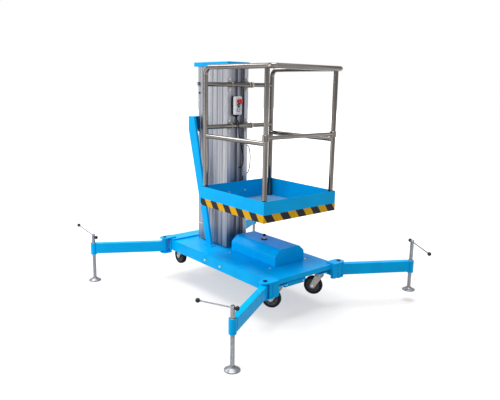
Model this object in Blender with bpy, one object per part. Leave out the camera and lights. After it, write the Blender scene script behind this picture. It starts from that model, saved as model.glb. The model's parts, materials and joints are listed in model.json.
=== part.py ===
# Single-mast personnel lift with a guarded platform, four swinging outriggers and four casters.
# Units are metres. +Z is up, the platform side is -Y, the origin is on the ground at the middle
# of the four outrigger pins.

import math

import bmesh
import bpy
from mathutils import Matrix, Vector

# Clearances
seat_gap = 0.0003
slide_gap = 0.0008
free_gap = 0.005
# How far the edge of a welded plate stands inside or behind its neighbour's
weld_step = 0.001

# Base frame
base_half_width = 0.345
pin_y = 0.688
base_front_y = -pin_y - 0.012
base_rear_y = pin_y + 0.062
deck_top_z = 0.357
deck_sheet = 0.004
front_lip_height = 0.040
side_member_width = 0.045
side_member_height = 0.090
side_member_wall = 0.004
rear_beam_depth = 0.138
rear_beam_top_z = 0.370
cross_beam_bottom_z = 0.295
front_beam_setback = 0.045
front_beam_depth = 0.110

# Sump pan under the front cross member
pan_from_caster = 0.055
pan_width = 0.220
pan_front_y = base_front_y + 0.038
pan_rear_y = -0.420
pan_bottom_z = 0.260
pan_chamfer_x = 0.019
pan_chamfer_z = 0.023
pan_wall = 0.003

# Outriggers
pin_x = base_half_width + 0.048
pin_radius = 0.010
pin_bore_clearance = 0.0003
pin_cap_radius = 0.016
pin_cap_height = 0.008
pin_nut_radius = 0.014
pin_nut_height = 0.011
lug_radius = 0.040
lug_half_width = 0.045
lug_thickness = 0.010
lug_overlap_on_deck = 0.045
lug_lower_bottom_z = 0.240
bracket_web = 0.008
guard_plate_thickness = 0.008
guard_plate_front_y = base_front_y - 0.028
guard_plate_inner_x = base_half_width - 0.055
guard_plate_outer_x = base_half_width + 0.040
guard_plate_corner = 0.018
arm_length = 0.622
arm_angle = 30.2
arm_width = 0.050
arm_bottom_z = 0.254
arm_top_z = 0.346
sleeve_radius = 0.0258
sleeve_bottom_z = 0.243
sleeve_top_z = 0.347

# Levelling jacks
screw_radius = 0.015
screw_top_z = 0.430
foot_radius = 0.0525
foot_rim = 0.007
foot_hub_radius = 0.024
foot_hub_height = 0.028
handle_z = 0.415
handle_radius = 0.0045
handle_length = 0.277
handle_knob_radius = 0.0155
handle_end_in_knob = 0.003

# Casters
caster_from_side = 0.120
caster_x = base_half_width - caster_from_side
caster_front_y = base_front_y + 0.061
caster_rear_y = base_rear_y - 0.110
wheel_radius = 0.075
wheel_half_width = 0.020
wheel_bottom_z = 0.105
caster_trail = 0.045
caster_front_turn = -60.0
caster_rear_turn = -90.0
axle_radius = 0.006
fork_leg = 0.004
fork_side_gap = 0.004
fork_head_radius = 0.036
fork_leg_half_width = 0.028
fork_boss_radius = 0.022
mount_plate_half_x = 0.050
mount_plate_half_y = 0.046
mount_plate = 0.006
pan_left_x = pan_from_caster - caster_x
pan_right_x = pan_left_x + pan_width

# Power unit
cover_left_x = -0.108
cover_right_x = 0.206
cover_front_y = -0.478
cover_rear_y = 0.070
cover_top_z = 0.488
cover_chamfer_x = 0.055
cover_chamfer_z = 0.048
cover_sheet = 0.0025
power_pack_margin = 0.030
knob_x = 0.040
knob_y = -0.180

# Mast
mast_sections = 6
mast_half_width = 0.1085
mast_front_y = 0.142
mast_pitch = 0.0703
mast_top_z = 1.883
channel_half_width = 0.070
channel_depth = 0.030
channel_lip = 0.008
slot_half_width = 0.080
slot_depth = 0.012
side_groove = 0.003
side_groove_width = 0.012
chamber_wall = 0.005
chamber_count = 4
centre_rib_x = 0.012
centre_rib_half_width = 0.006
centre_rib_height = 0.018
cap_half_width = 0.1155
cap_front_overhang = 0.006
cap_rear_overhang = 0.055
cap_height = 0.035
cap_sheet = 0.003

# Mast brace
brace_bar_half_length = 0.160
brace_bar_bottom_z = 1.345
brace_bar_height = 0.118
brace_bar_depth = 0.047
brace_bar_wall = 0.006
brace_leg_width = 0.070
brace_leg_thickness = 0.022
brace_leg_head_depth = 0.086
brace_foot_y = 0.300
brace_foot_thickness = 0.006
brace_foot_length = 0.110
brace_foot_width = 0.040

# Platform
tray_half_width = 0.375
tray_front_y = -0.635
tray_rear_y = mast_front_y - 0.002
tray_bottom_z = 0.776
tray_height = 0.157
tray_sheet = 0.003
floor_sheet = 0.003
floor_margin = 0.004
floor_notch_gap = 0.002
rail_radius = 0.019
post_inset = 0.028
top_rail_z = 1.866
top_rail_bend = 0.060
top_rail_front_bend = 0.045
top_rail_overhang = 0.065
bend_steps = 6
mid_rail_z = 1.337
rear_rail_heights = (1.738, 1.405)
clamp_x = 0.092
clamp_half_width = 0.012
clamp_plate_height = 0.104
clamp_plate = 0.005
side_tube_radius = 0.018
gate_bar_radius = 0.015
gate_collar_radius = 0.025
gate_collar_height = 0.044

# Control box and cables
box_centre_x = -0.027
box_half_width = 0.035
box_bottom_z = mast_top_z - 0.393
box_height = 0.154
box_depth = 0.045
button_radius = 0.020
button_height_in_box = 0.115
gland_radius = 0.009
gland_height = 0.016
gland_from_mast = 0.012
cable_radius = 0.004
cable_lead = 0.010


# Scene set-up
for old_object in list(bpy.data.objects):
    bpy.data.objects.remove(old_object, do_unlink=True)

lift = bpy.data.collections.new("mast_lift")
helpers = bpy.data.collections.new("cutters")
bpy.context.scene.collection.children.link(lift)
bpy.context.scene.collection.children.link(helpers)


def make_material(name, colour, metallic, roughness):
    material = bpy.data.materials.new(name)
    material.use_nodes = True
    shader = material.node_tree.nodes["Principled BSDF"]
    shader.inputs["Base Color"].default_value = (*colour, 1.0)
    shader.inputs["Metallic"].default_value = metallic
    shader.inputs["Roughness"].default_value = roughness
    return material


blue_paint = make_material("blue_paint", (0.004, 0.33, 0.78), 0.0, 0.35)
aluminium = make_material("mill_aluminium", (0.60, 0.60, 0.64), 1.0, 0.40)
stainless = make_material("stainless_tube", (0.55, 0.53, 0.51), 1.0, 0.22)
zinc = make_material("zinc_plate", (0.62, 0.62, 0.62), 1.0, 0.35)
rubber = make_material("black_rubber", (0.02, 0.02, 0.02), 0.0, 0.60)
black_plastic = make_material("black_plastic", (0.015, 0.015, 0.015), 0.0, 0.40)
grey_plastic = make_material("grey_plastic", (0.55, 0.56, 0.58), 0.0, 0.45)
red_plastic = make_material("red_plastic", (0.70, 0.01, 0.01), 0.0, 0.35)


# Modelling helpers
def place(target, material, collection=lift):
    target.data.materials.clear()
    target.data.materials.append(material)
    collection.objects.link(target)
    return target


def new_object(name, mesh, material, collection=lift):
    return place(bpy.data.objects.new(name, mesh), material, collection)


def box(name, low, high, material=blue_paint, collection=lift):
    shape = bmesh.new()
    bmesh.ops.create_cube(shape, size=1.0)
    size = Vector(high) - Vector(low)
    middle = (Vector(high) + Vector(low)) / 2
    bmesh.ops.scale(shape, vec=size, verts=shape.verts)
    bmesh.ops.translate(shape, vec=middle, verts=shape.verts)
    mesh = bpy.data.meshes.new(name)
    shape.to_mesh(mesh)
    shape.free()
    return new_object(name, mesh, material, collection)


def rod(name, start, end, radius, material=blue_paint, collection=lift, sides=16):
    start, end = Vector(start), Vector(end)
    direction = end - start
    shape = bmesh.new()
    bmesh.ops.create_cone(shape, cap_ends=True, segments=sides, radius1=radius, radius2=radius,
                          depth=direction.length)
    turn = direction.to_track_quat("Z", "Y").to_matrix().to_4x4()
    shape.transform(Matrix.Translation((start + end) / 2) @ turn)
    mesh = bpy.data.meshes.new(name)
    shape.to_mesh(mesh)
    shape.free()
    return new_object(name, mesh, material, collection)


def ball(name, centre, radius, material=blue_paint, collection=lift):
    shape = bmesh.new()
    bmesh.ops.create_uvsphere(shape, u_segments=10, v_segments=7, radius=radius)
    bmesh.ops.translate(shape, vec=centre, verts=shape.verts)
    mesh = bpy.data.meshes.new(name)
    shape.to_mesh(mesh)
    shape.free()
    return new_object(name, mesh, material, collection)


def outline(name, loops, low, high, frame, material=blue_paint, collection=lift):
    # A flat outline in the frame's own X and Y, extruded from low to high along its Z.
    curve = bpy.data.curves.new(name, "CURVE")
    curve.dimensions = "2D"
    curve.fill_mode = "BOTH"
    curve.extrude = (high - low) / 2
    for points in loops:
        spline = curve.splines.new("POLY")
        spline.points.add(len(points) - 1)
        for point, (u, v) in zip(spline.points, points):
            point.co = (u, v, 0.0, 1.0)
        spline.use_cyclic_u = True
    drawn = bpy.data.objects.new(name + "_outline", curve)
    bpy.context.scene.collection.objects.link(drawn)
    bpy.context.view_layer.update()
    mesh = bpy.data.meshes.new_from_object(drawn.evaluated_get(bpy.context.evaluated_depsgraph_get()))
    bpy.data.objects.remove(drawn, do_unlink=True)
    mesh.name = name
    mesh.transform(frame @ Matrix.Translation((0, 0, (high + low) / 2)))
    return weld(new_object(name, mesh, material, collection))


def weld(target):
    shape = bmesh.new()
    shape.from_mesh(target.data)
    bmesh.ops.remove_doubles(shape, verts=shape.verts, dist=0.00001)
    bmesh.ops.recalc_face_normals(shape, faces=shape.faces)
    shape.to_mesh(target.data)
    shape.free()
    return target


def tube(name, points, radius, material, collection=lift, resolution=2):
    curve = bpy.data.curves.new(name, "CURVE")
    curve.dimensions = "3D"
    curve.bevel_depth = radius
    curve.bevel_resolution = resolution
    curve.use_fill_caps = True
    spline = curve.splines.new("POLY")
    spline.points.add(len(points) - 1)
    for point, position in zip(spline.points, points):
        point.co = (*position, 1.0)
    drawn = bpy.data.objects.new(name + "_path", curve)
    bpy.context.scene.collection.objects.link(drawn)
    bpy.context.view_layer.update()
    mesh = bpy.data.meshes.new_from_object(drawn.evaluated_get(bpy.context.evaluated_depsgraph_get()))
    bpy.data.objects.remove(drawn, do_unlink=True)
    mesh.name = name
    return weld(new_object(name, mesh, material, collection))


def turned(name, profile, frame, material, collection=lift, steps=24):
    # A profile of (radius, height) pairs, listed from top to bottom on its outer side.
    shape = bmesh.new()
    points = [shape.verts.new((radius, 0.0, height)) for radius, height in profile]
    for first, second in zip(points, points[1:]):
        shape.edges.new((first, second))
    bmesh.ops.spin(shape, geom=shape.verts[:] + shape.edges[:], cent=(0, 0, 0), axis=(0, 0, 1),
                   angle=2 * math.pi, steps=steps, use_merge=True)
    bmesh.ops.remove_doubles(shape, verts=shape.verts, dist=0.00001)
    bmesh.ops.recalc_face_normals(shape, faces=shape.faces)
    shape.transform(frame)
    mesh = bpy.data.meshes.new(name)
    shape.to_mesh(mesh)
    shape.free()
    mesh.shade_smooth()
    mesh.set_sharp_from_angle(angle=math.radians(30))
    return new_object(name, mesh, material, collection)


def combine(target, operation, others):
    for other in others:
        if other.name in lift.objects:
            lift.objects.unlink(other)
            helpers.objects.link(other)
        other.hide_render = True
        other.display_type = "WIRE"
        modifier = target.modifiers.new(operation.lower(), "BOOLEAN")
        modifier.operation = operation
        modifier.object = other
        modifier.solver = "EXACT"
    return target


def join(target, *others):
    return combine(target, "UNION", others)


def cut(target, *others):
    return combine(target, "DIFFERENCE", others)


def helper_rod(name, start, end, radius, sides=16):
    return rod(name, start, end, radius, blue_paint, helpers, sides)


def arc(centre, radius, start, end, steps):
    # Points of an arc in a plane, angles in degrees.
    turns = [math.radians(start + (end - start) * step / steps) for step in range(steps + 1)]
    return [(centre[0] + radius * math.cos(turn), centre[1] + radius * math.sin(turn)) for turn in turns]


def empty(name, location):
    guide = bpy.data.objects.new(name, None)
    guide.location = location
    guide.empty_display_size = 0.05
    lift.objects.link(guide)
    bpy.context.view_layer.update()
    return guide


upright = Matrix.Identity(4)
# Outline X and Y become world X and Z, and the extrusion runs along -Y.
facing_front = Matrix.Rotation(math.radians(90), 4, "X")
# Outline X and Y become world Y and Z, and the extrusion runs along +X.
facing_side = Matrix(((0, 0, 1, 0), (1, 0, 0, 0), (0, 1, 0, 0), (0, 0, 0, 1)))

# Corners of the machine: name, side in X, end in Y, handle azimuth and tilt in degrees,
# reach of the handle's far knob, foot height
corners = (
    ("front_left", -1, -1, 115.2, 0.0, 0.246, 0.0),
    ("rear_left", -1, 1, 99.0, 13.0, 0.2318, 0.0),
    ("front_right", 1, -1, -114.0, -7.0, 0.246, 0.090),
    ("rear_right", 1, 1, -64.8, 0.0, 0.246, 0.0),
)

side_member_top_z = deck_top_z - deck_sheet - seat_gap
side_member_bottom_z = side_member_top_z - side_member_height
inner_half_width = base_half_width - side_member_width - seat_gap
rear_beam_front_y = base_rear_y - rear_beam_depth
lug_upper_bottom_z = deck_top_z + seat_gap
lug_lower_top_z = lug_lower_bottom_z + lug_thickness
mast_rear_y = mast_front_y + mast_sections * mast_pitch - free_gap


# Base frame
def build_side_member(name, side):
    outer = side * base_half_width
    inner = side * (base_half_width - side_member_width)
    low_x, high_x = min(outer, inner), max(outer, inner)
    wall = side_member_wall
    section = [
        [(low_x, side_member_bottom_z), (high_x, side_member_bottom_z),
         (high_x, side_member_top_z), (low_x, side_member_top_z)],
        [(low_x + wall, side_member_bottom_z + wall), (high_x - wall, side_member_bottom_z + wall),
         (high_x - wall, side_member_top_z - wall), (low_x + wall, side_member_top_z - wall)],
    ]
    front = base_front_y + deck_sheet + seat_gap
    return outline(name, section, -base_rear_y, -front, facing_front)


def build_deck():
    # A sheet with its front edge folded down.
    front, sheet = base_front_y, deck_sheet
    rear = rear_beam_front_y - seat_gap
    lip_bottom = deck_top_z - front_lip_height
    section = [(front, lip_bottom), (front + sheet, lip_bottom), (front + sheet, deck_top_z - sheet),
               (rear, deck_top_z - sheet), (rear, deck_top_z), (front, deck_top_z)]
    return outline("deck_plate", [section], -base_half_width, base_half_width, facing_side)


def mount_plates(target, centre_y):
    for side in (-1, 1):
        plate = box("mount_plate", (side * caster_x - mount_plate_half_x, centre_y - mount_plate_half_y,
                                    cross_beam_bottom_z - mount_plate),
                    (side * caster_x + mount_plate_half_x, centre_y + mount_plate_half_y,
                     cross_beam_bottom_z + mount_plate))
        join(target, plate)


def build_front_beam():
    front = base_front_y + front_beam_setback
    beam = box("front_cross_member", (-inner_half_width, front, cross_beam_bottom_z),
               (inner_half_width, front + front_beam_depth, side_member_top_z))
    mount_plates(beam, caster_front_y)
    return beam


def build_rear_beam():
    # The upper part lies on the side members and the lower part goes between them.
    shelf = side_member_top_z + seat_gap
    beam = box("rear_cross_member", (-base_half_width, rear_beam_front_y, shelf),
               (base_half_width, base_rear_y, rear_beam_top_z))
    lower = box("lower_part", (-inner_half_width, rear_beam_front_y + 0.001, cross_beam_bottom_z),
                (inner_half_width, base_rear_y - 0.001, shelf + 0.005))
    join(beam, lower)
    mount_plates(beam, caster_rear_y)
    return beam


def build_pan():
    # An open box hung under the front cross member, with a chamfer along its lower right edge.
    top, bottom = cross_beam_bottom_z - seat_gap, pan_bottom_z
    section = [(pan_left_x, bottom), (pan_right_x - pan_chamfer_x, bottom),
               (pan_right_x, bottom + pan_chamfer_z), (pan_right_x, top), (pan_left_x, top)]
    pan = outline("under_pan", [section], -pan_rear_y, -pan_front_y, facing_front)
    hollow = box("pan_hollow", (pan_left_x + pan_wall, pan_front_y + pan_wall, bottom + pan_wall),
                 (pan_right_x - pan_chamfer_x, pan_rear_y - pan_wall, top + pan_wall), blue_paint, helpers)
    return cut(pan, hollow)


def lug_outline(side, end, inner_x):
    # A plate from the frame out round the pin, with a round nose.
    nose = arc((pin_x, pin_y), lug_radius, -90, 90, 5)
    points = [(inner_x, pin_y - lug_half_width), (pin_x - 0.020, pin_y - lug_half_width)] + nose
    points += [(pin_x - 0.020, pin_y + lug_half_width), (inner_x, pin_y + lug_half_width)]
    return [(side * x, end * y) for x, y in points]


def build_bracket(name, side, end):
    web_inner = base_half_width + seat_gap
    upper_top = lug_upper_bottom_z + lug_thickness
    if end > 0:
        upper_bottom = rear_beam_top_z + seat_gap
        upper_top = upper_bottom + lug_thickness
    else:
        upper_bottom = lug_upper_bottom_z
    deck_reach = base_half_width - lug_overlap_on_deck
    upper = outline(name, [lug_outline(side, end, deck_reach)], upper_bottom, upper_top, upright)
    lower = outline("lower_lug", [lug_outline(side, end, web_inner + weld_step)],
                    lug_lower_bottom_z, lug_lower_top_z, upright)
    half_web = lug_half_width - weld_step
    low_z, high_z = lug_lower_bottom_z + 2 * weld_step, upper_top - 2 * weld_step
    web_x = sorted((side * web_inner, side * (web_inner + bracket_web)))
    web_y = sorted((end * (pin_y - half_web), end * (pin_y + half_web)))
    web = box("web", (web_x[0], web_y[0], low_z), (web_x[1], web_y[1], high_z))
    join(upper, lower, web)
    if end < 0:
        return_x = sorted((side * (guard_plate_inner_x + weld_step),
                           side * (guard_plate_inner_x + guard_plate_thickness)))
        plate_back_y = guard_plate_front_y + guard_plate_thickness
        plate_low, plate_high, corner = low_z + weld_step, high_z - weld_step, guard_plate_corner
        points = arc((guard_plate_inner_x + corner, plate_low + corner), corner, 180, 270, 4)
        points += arc((guard_plate_outer_x - corner, plate_low + corner), corner, 270, 360, 4)
        points += [(guard_plate_outer_x, plate_high), (guard_plate_inner_x, plate_high)]
        front_plate = outline("front_plate", [[(side * x, z) for x, z in points]], -plate_back_y,
                              -guard_plate_front_y, facing_front)
        side_return = box("side_return", (return_x[0], plate_back_y - weld_step, low_z + corner + weld_step),
                          (return_x[1], base_front_y - seat_gap, deck_top_z - weld_step))
        join(upper, front_plate, side_return)
    bore = helper_rod("bore", (side * pin_x, end * pin_y, lug_lower_bottom_z - free_gap),
                      (side * pin_x, end * pin_y, upper_top + free_gap),
                      pin_radius + pin_bore_clearance, 12)
    return cut(upper, bore)


def build_pin(name, side, end):
    upper_top = (rear_beam_top_z if end > 0 else deck_top_z) + seat_gap + lug_thickness
    cap_bottom = upper_top + seat_gap
    nut_top = lug_lower_bottom_z - seat_gap
    profile = [(0.0, cap_bottom + pin_cap_height), (pin_cap_radius - 0.002, cap_bottom + pin_cap_height),
               (pin_cap_radius, cap_bottom + pin_cap_height - 0.002), (pin_cap_radius, cap_bottom),
               (pin_radius, cap_bottom), (pin_radius, nut_top), (pin_nut_radius, nut_top),
               (pin_nut_radius, nut_top - pin_nut_height), (0.0, nut_top - pin_nut_height)]
    frame = Matrix.Translation((side * pin_x, end * pin_y, 0))
    return turned(name, profile, frame, black_plastic, steps=12)


# Outriggers
def arm_azimuth(side, end):
    angle = arm_angle if side > 0 else 180 - arm_angle
    return end * angle


def jack_position(side, end):
    turn = math.radians(arm_azimuth(side, end))
    return (side * pin_x + arm_length * math.cos(turn), end * pin_y + arm_length * math.sin(turn))


def build_arm(name, side, end):
    upper_bottom = (rear_beam_top_z if end > 0 else deck_top_z) + seat_gap
    half = arm_width / 2
    arm = box(name, (0, -half, arm_bottom_z), (arm_length, half, arm_top_z))
    eye = helper_rod("eye", (0, 0, lug_lower_top_z + seat_gap), (0, 0, upper_bottom - seat_gap), half)
    sleeve = helper_rod("sleeve", (arm_length, 0, sleeve_bottom_z), (arm_length, 0, sleeve_top_z),
                        sleeve_radius)
    pin_bore = helper_rod("pin_bore", (0, 0, lug_lower_bottom_z), (0, 0, upper_bottom + free_gap),
                          pin_radius + pin_bore_clearance)
    screw_bore = helper_rod("screw_bore", (arm_length, 0, sleeve_bottom_z - free_gap),
                            (arm_length, 0, sleeve_top_z + free_gap),
                            screw_radius + pin_bore_clearance * 2)
    join(arm, eye, sleeve)
    cut(arm, pin_bore, screw_bore)
    hinge = empty(name + "_hinge", (side * pin_x, end * pin_y, 0))
    hinge.rotation_euler = (0, 0, math.radians(arm_azimuth(side, end)))
    for piece in (arm, eye, sleeve, pin_bore, screw_bore):
        piece.parent = hinge
    return arm


def build_jack(name, side, end, azimuth, tilt, reach, foot_height):
    x, y = jack_position(side, end)
    screw = helper_rod("screw", (0, 0, foot_hub_height - 0.004), (0, 0, screw_top_z), screw_radius, 12)
    profile = [(0.0, foot_hub_height), (foot_hub_radius - 0.006, foot_hub_height),
               (foot_hub_radius, foot_hub_height - 0.008), (foot_hub_radius, foot_rim + 0.004),
               (foot_radius - 0.004, foot_rim), (foot_radius, foot_rim - 0.003),
               (foot_radius, 0.0), (0.0, 0.0)]
    foot = turned(name, profile, Matrix.Identity(4), zinc, steps=16)
    turn = math.radians(azimuth)
    rise = math.radians(tilt)
    along = Vector((math.cos(turn) * math.cos(rise), math.sin(turn) * math.cos(rise), math.sin(rise)))
    middle = Vector((0, 0, handle_z))
    far_end = middle + along * reach
    near_end = far_end - along * handle_length
    handle = helper_rod("handle", near_end - along * handle_end_in_knob,
                        far_end + along * handle_end_in_knob, handle_radius, 8)
    far_knob = ball("far_knob", far_end, handle_knob_radius, black_plastic, helpers)
    near_knob = ball("near_knob", near_end, handle_knob_radius, black_plastic, helpers)
    join(foot, screw, handle, far_knob, near_knob)
    for piece in (foot, screw, handle, far_knob, near_knob):
        piece.location = (x, y, foot_height)
    return foot


# Casters
def build_caster(name, x, y, turn):
    axle_z = wheel_bottom_z + wheel_radius
    crown_bottom = axle_z + wheel_radius + free_gap
    head_top = cross_beam_bottom_z - mount_plate - seat_gap
    leg_inner = wheel_half_width + fork_side_gap
    leg_outer = leg_inner + fork_leg
    fork = rod(name + "_fork", (0, 0, crown_bottom + 0.003), (0, 0, head_top), fork_head_radius, zinc)
    crown = box("crown", (-0.034, -leg_outer, crown_bottom), (0.034, leg_outer, crown_bottom + fork_leg),
                zinc, helpers)
    pieces = [fork, crown]
    half, leg_top = fork_leg_half_width, crown_bottom + fork_leg
    leg_points = [(half, leg_top), (-half, leg_top)]
    leg_points += arc((-caster_trail, axle_z), fork_boss_radius, 170, 340, 5)
    for side in (-1, 1):
        low, high = sorted((side * leg_inner, side * leg_outer))
        pieces.append(outline("leg", [leg_points], -high, -low, facing_front, zinc, helpers))
    axle = helper_rod("axle", (-caster_trail, -leg_outer - 0.004, axle_z),
                      (-caster_trail, leg_outer + 0.004, axle_z), axle_radius, 10)
    pieces.append(axle)
    join(fork, *pieces[1:])
    half, radius = wheel_half_width, wheel_radius
    bore = axle_radius + pin_bore_clearance
    hub_half = leg_inner - free_gap * 0.2
    profile = [(bore, -hub_half), (0.018, -hub_half), (0.020, -half * 0.5), (0.050, -half * 0.5),
               (0.054, -half), (radius - 0.006, -half), (radius, -half * 0.6),
               (radius, half * 0.6), (radius - 0.006, half), (0.054, half), (0.050, half * 0.5),
               (0.020, half * 0.5), (0.018, hub_half), (bore, hub_half), (bore, -hub_half)]
    wheel = turned(name + "_wheel", profile, Matrix.Rotation(math.radians(90), 4, "X"), rubber,
                   steps=20)
    for piece in pieces + [wheel]:
        piece.location = (x, y, 0)
        piece.rotation_euler = (0, 0, turn)
    wheel.location = (x - caster_trail * math.cos(turn), y - caster_trail * math.sin(turn), axle_z)


# Power unit
def build_cover():
    left, right, top = cover_left_x, cover_right_x, cover_top_z
    bottom = deck_top_z + seat_gap

    def section(inset):
        return [(left + inset, bottom - inset), (right - inset, bottom - inset),
                (right - inset, top - cover_chamfer_z - inset * 0.4),
                (right - cover_chamfer_x - inset * 0.4, top - inset),
                (left + cover_chamfer_x + inset * 0.4, top - inset),
                (left + inset, top - cover_chamfer_z - inset * 0.4)]

    shell = outline("power_unit_cover", [section(0.0)], -cover_rear_y, -cover_front_y, facing_front)
    hollow = outline("cover_hollow", [section(cover_sheet)], -cover_rear_y + cover_sheet,
                     -cover_front_y - cover_sheet, facing_front, blue_paint, helpers)
    bore = helper_rod("knob_hole", (knob_x, knob_y, top - 0.02), (knob_x, knob_y, top + 0.02), 0.007)
    return cut(shell, hollow, bore)


def build_power_pack():
    margin = power_pack_margin
    return box("power_pack", (cover_left_x + margin, cover_front_y + margin, deck_top_z + seat_gap),
               (cover_right_x - margin, cover_rear_y - margin,
                cover_top_z - cover_chamfer_z - 0.010), black_plastic)


def build_lowering_knob():
    top = cover_top_z + seat_gap
    pack_top = cover_top_z - cover_chamfer_z - 0.010
    profile = [(0.0, top + 0.046), (0.009, top + 0.045), (0.015, top + 0.039), (0.015, top + 0.031),
               (0.008, top + 0.026), (0.004, top + 0.024), (0.004, top + 0.005), (0.026, top + 0.005),
               (0.028, top + 0.003), (0.028, top), (0.006, top), (0.006, pack_top + seat_gap),
               (0.0, pack_top + seat_gap)]
    return turned("lowering_knob", profile, Matrix.Translation((knob_x, knob_y, 0)), black_plastic,
                  steps=16)


# Mast
def mast_outline(index):
    # Section outline in plan. The front is at v = 0 and the rear at v = depth.
    depth = mast_pitch - free_gap
    half, groove = mast_half_width, side_groove
    groove_low = (depth - side_groove_width) / 2
    groove_high = groove_low + side_groove_width
    right_side = [(half, 0), (half, groove_low), (half - groove, groove_low + groove),
                  (half - groove, groove_high - groove), (half, groove_high), (half, depth)]
    neck = channel_half_width - slide_gap
    head = slot_half_width - slide_gap
    neck_end = depth + free_gap + channel_lip + slide_gap
    head_end = neck_end + slot_depth - 2 * slide_gap
    tongue = []
    if index > 0:
        tongue = [(neck, depth), (neck, neck_end), (head, neck_end), (head, head_end)]
    channel = [(channel_half_width, channel_depth), (channel_half_width, channel_lip + slot_depth),
               (slot_half_width, channel_lip + slot_depth), (slot_half_width, channel_lip),
               (channel_half_width, channel_lip), (channel_half_width, 0)]
    right = right_side + tongue
    left = [(-x, v) for x, v in reversed(right)]
    left_channel = [(-x, v) for x, v in reversed(channel)]
    rib = []
    if index == mast_sections - 1:
        rib_low = centre_rib_x - centre_rib_half_width
        rib_high = centre_rib_x + centre_rib_half_width
        rib_v = channel_depth - centre_rib_height
        rib = [(rib_low, channel_depth), (rib_low, rib_v), (rib_high, rib_v), (rib_high, channel_depth)]
    return left_channel + rib + channel + right + left


def mast_chambers():
    depth = mast_pitch - free_gap
    low, high = channel_depth + chamber_wall, depth - chamber_wall
    span = 2 * (slot_half_width - chamber_wall)
    pitch = span / chamber_count
    chambers = []
    for number in range(chamber_count):
        left = -span / 2 + number * pitch + chamber_wall / 2
        right = left + pitch - chamber_wall
        chambers.append([(left, low), (right, low), (right, high), (left, high)])
    return chambers


def build_mast_section(index):
    front_y = mast_front_y + (mast_sections - 1 - index) * mast_pitch
    loops = [[(x, v + front_y) for x, v in loop] for loop in [mast_outline(index)] + mast_chambers()]
    bottom = deck_top_z + (seat_gap if index == 0 else 2 * free_gap)
    top = mast_top_z
    if index == mast_sections - 1:
        top = mast_top_z + free_gap * 0.4 + cap_height - cap_sheet - seat_gap
    return outline("mast_section_%d" % (index + 1), loops, bottom, top, upright, aluminium)


def build_cap():
    bottom = mast_top_z + free_gap * 0.4
    low = Vector((-cap_half_width, mast_front_y - cap_front_overhang, bottom))
    high = Vector((cap_half_width, mast_rear_y + cap_rear_overhang, bottom + cap_height))
    cap = box("mast_cap", low, high)
    inset = Vector((cap_sheet, cap_sheet, 0))
    hollow = box("cap_hollow", low + inset - Vector((0, 0, cap_sheet)),
                 high - inset - Vector((0, 0, cap_sheet)), blue_paint, helpers)
    return cut(cap, hollow)


def build_brace():
    # A cross bar behind the mast with a leg on each side down to the deck.
    rear = mast_rear_y + seat_gap
    top = brace_bar_bottom_z + brace_bar_height
    wall = brace_bar_wall
    section = [(rear, brace_bar_bottom_z), (rear + brace_bar_depth, brace_bar_bottom_z),
               (rear + brace_bar_depth, top), (rear, top), (rear, top - wall),
               (rear + brace_bar_depth - wall, top - wall),
               (rear + brace_bar_depth - wall, brace_bar_bottom_z + wall),
               (rear, brace_bar_bottom_z + wall)]
    bar = outline("brace_cross_bar", [section], -brace_bar_half_length, brace_bar_half_length,
                  facing_side)
    back_plate = box("back_plate", (-mast_half_width, rear, brace_bar_bottom_z),
                     (mast_half_width, rear + wall, top))
    return join(bar, back_plate)


def build_brace_leg(name, side):
    inner = side * (brace_bar_half_length + seat_gap)
    outer = side * (brace_bar_half_length + seat_gap + brace_leg_thickness)
    low_x, high_x = sorted((inner, outer))
    rear = mast_rear_y + seat_gap
    half = brace_leg_width / 2
    top_rear = rear + brace_bar_depth
    top_front = top_rear - brace_leg_head_depth
    bar_top = brace_bar_bottom_z + brace_bar_height
    foot_top = deck_top_z + seat_gap + brace_foot_thickness
    points = [(brace_foot_y - half, foot_top - weld_step), (brace_foot_y + half, foot_top - weld_step),
              (top_rear, brace_bar_bottom_z), (top_rear, bar_top), (top_front, bar_top)]
    leg = outline(name, [points], low_x, high_x, facing_side)
    foot_x = sorted((side * (brace_bar_half_length - 0.006),
                     side * (brace_bar_half_length - 0.006 + brace_foot_width)))
    foot = box("foot", (foot_x[0], brace_foot_y - brace_foot_length / 2, deck_top_z + seat_gap),
               (foot_x[1], brace_foot_y + brace_foot_length / 2, foot_top))
    return join(leg, foot)


# Platform
def build_tray():
    low = Vector((-tray_half_width, tray_front_y, tray_bottom_z))
    high = Vector((tray_half_width, tray_rear_y, tray_bottom_z + tray_height))
    tray = box("platform_tray", low, high)
    inset = Vector((tray_sheet, tray_sheet, tray_sheet))
    hollow = box("tray_hollow", low + inset, high - Vector((tray_sheet, tray_sheet, -tray_sheet)),
                 blue_paint, helpers)
    return cut(tray, hollow)


post_x = tray_half_width - post_inset
post_front_y = tray_front_y + post_inset
post_rear_y = tray_rear_y - post_inset
post_bottom_z = tray_bottom_z + tray_sheet + seat_gap


def build_floor():
    # A plate with a notch round the foot of each post.
    inset = tray_sheet + floor_margin
    bottom = tray_bottom_z + tray_sheet + seat_gap
    outer_x, front_y, rear_y = tray_half_width - inset, tray_front_y + inset, tray_rear_y - inset
    notch = post_inset + rail_radius + floor_notch_gap
    notch_x, notch_front, notch_rear = tray_half_width - notch, tray_front_y + notch, tray_rear_y - notch
    points = []
    for side in (-1, 1):
        corner = [(notch_x, front_y), (notch_x, notch_front), (outer_x, notch_front),
                  (outer_x, notch_rear), (notch_x, notch_rear), (notch_x, rear_y)]
        points += [(side * x, y) for x, y in (corner if side > 0 else reversed(corner))]
    return outline("platform_floor", [points], bottom, bottom + floor_sheet, upright)


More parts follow.
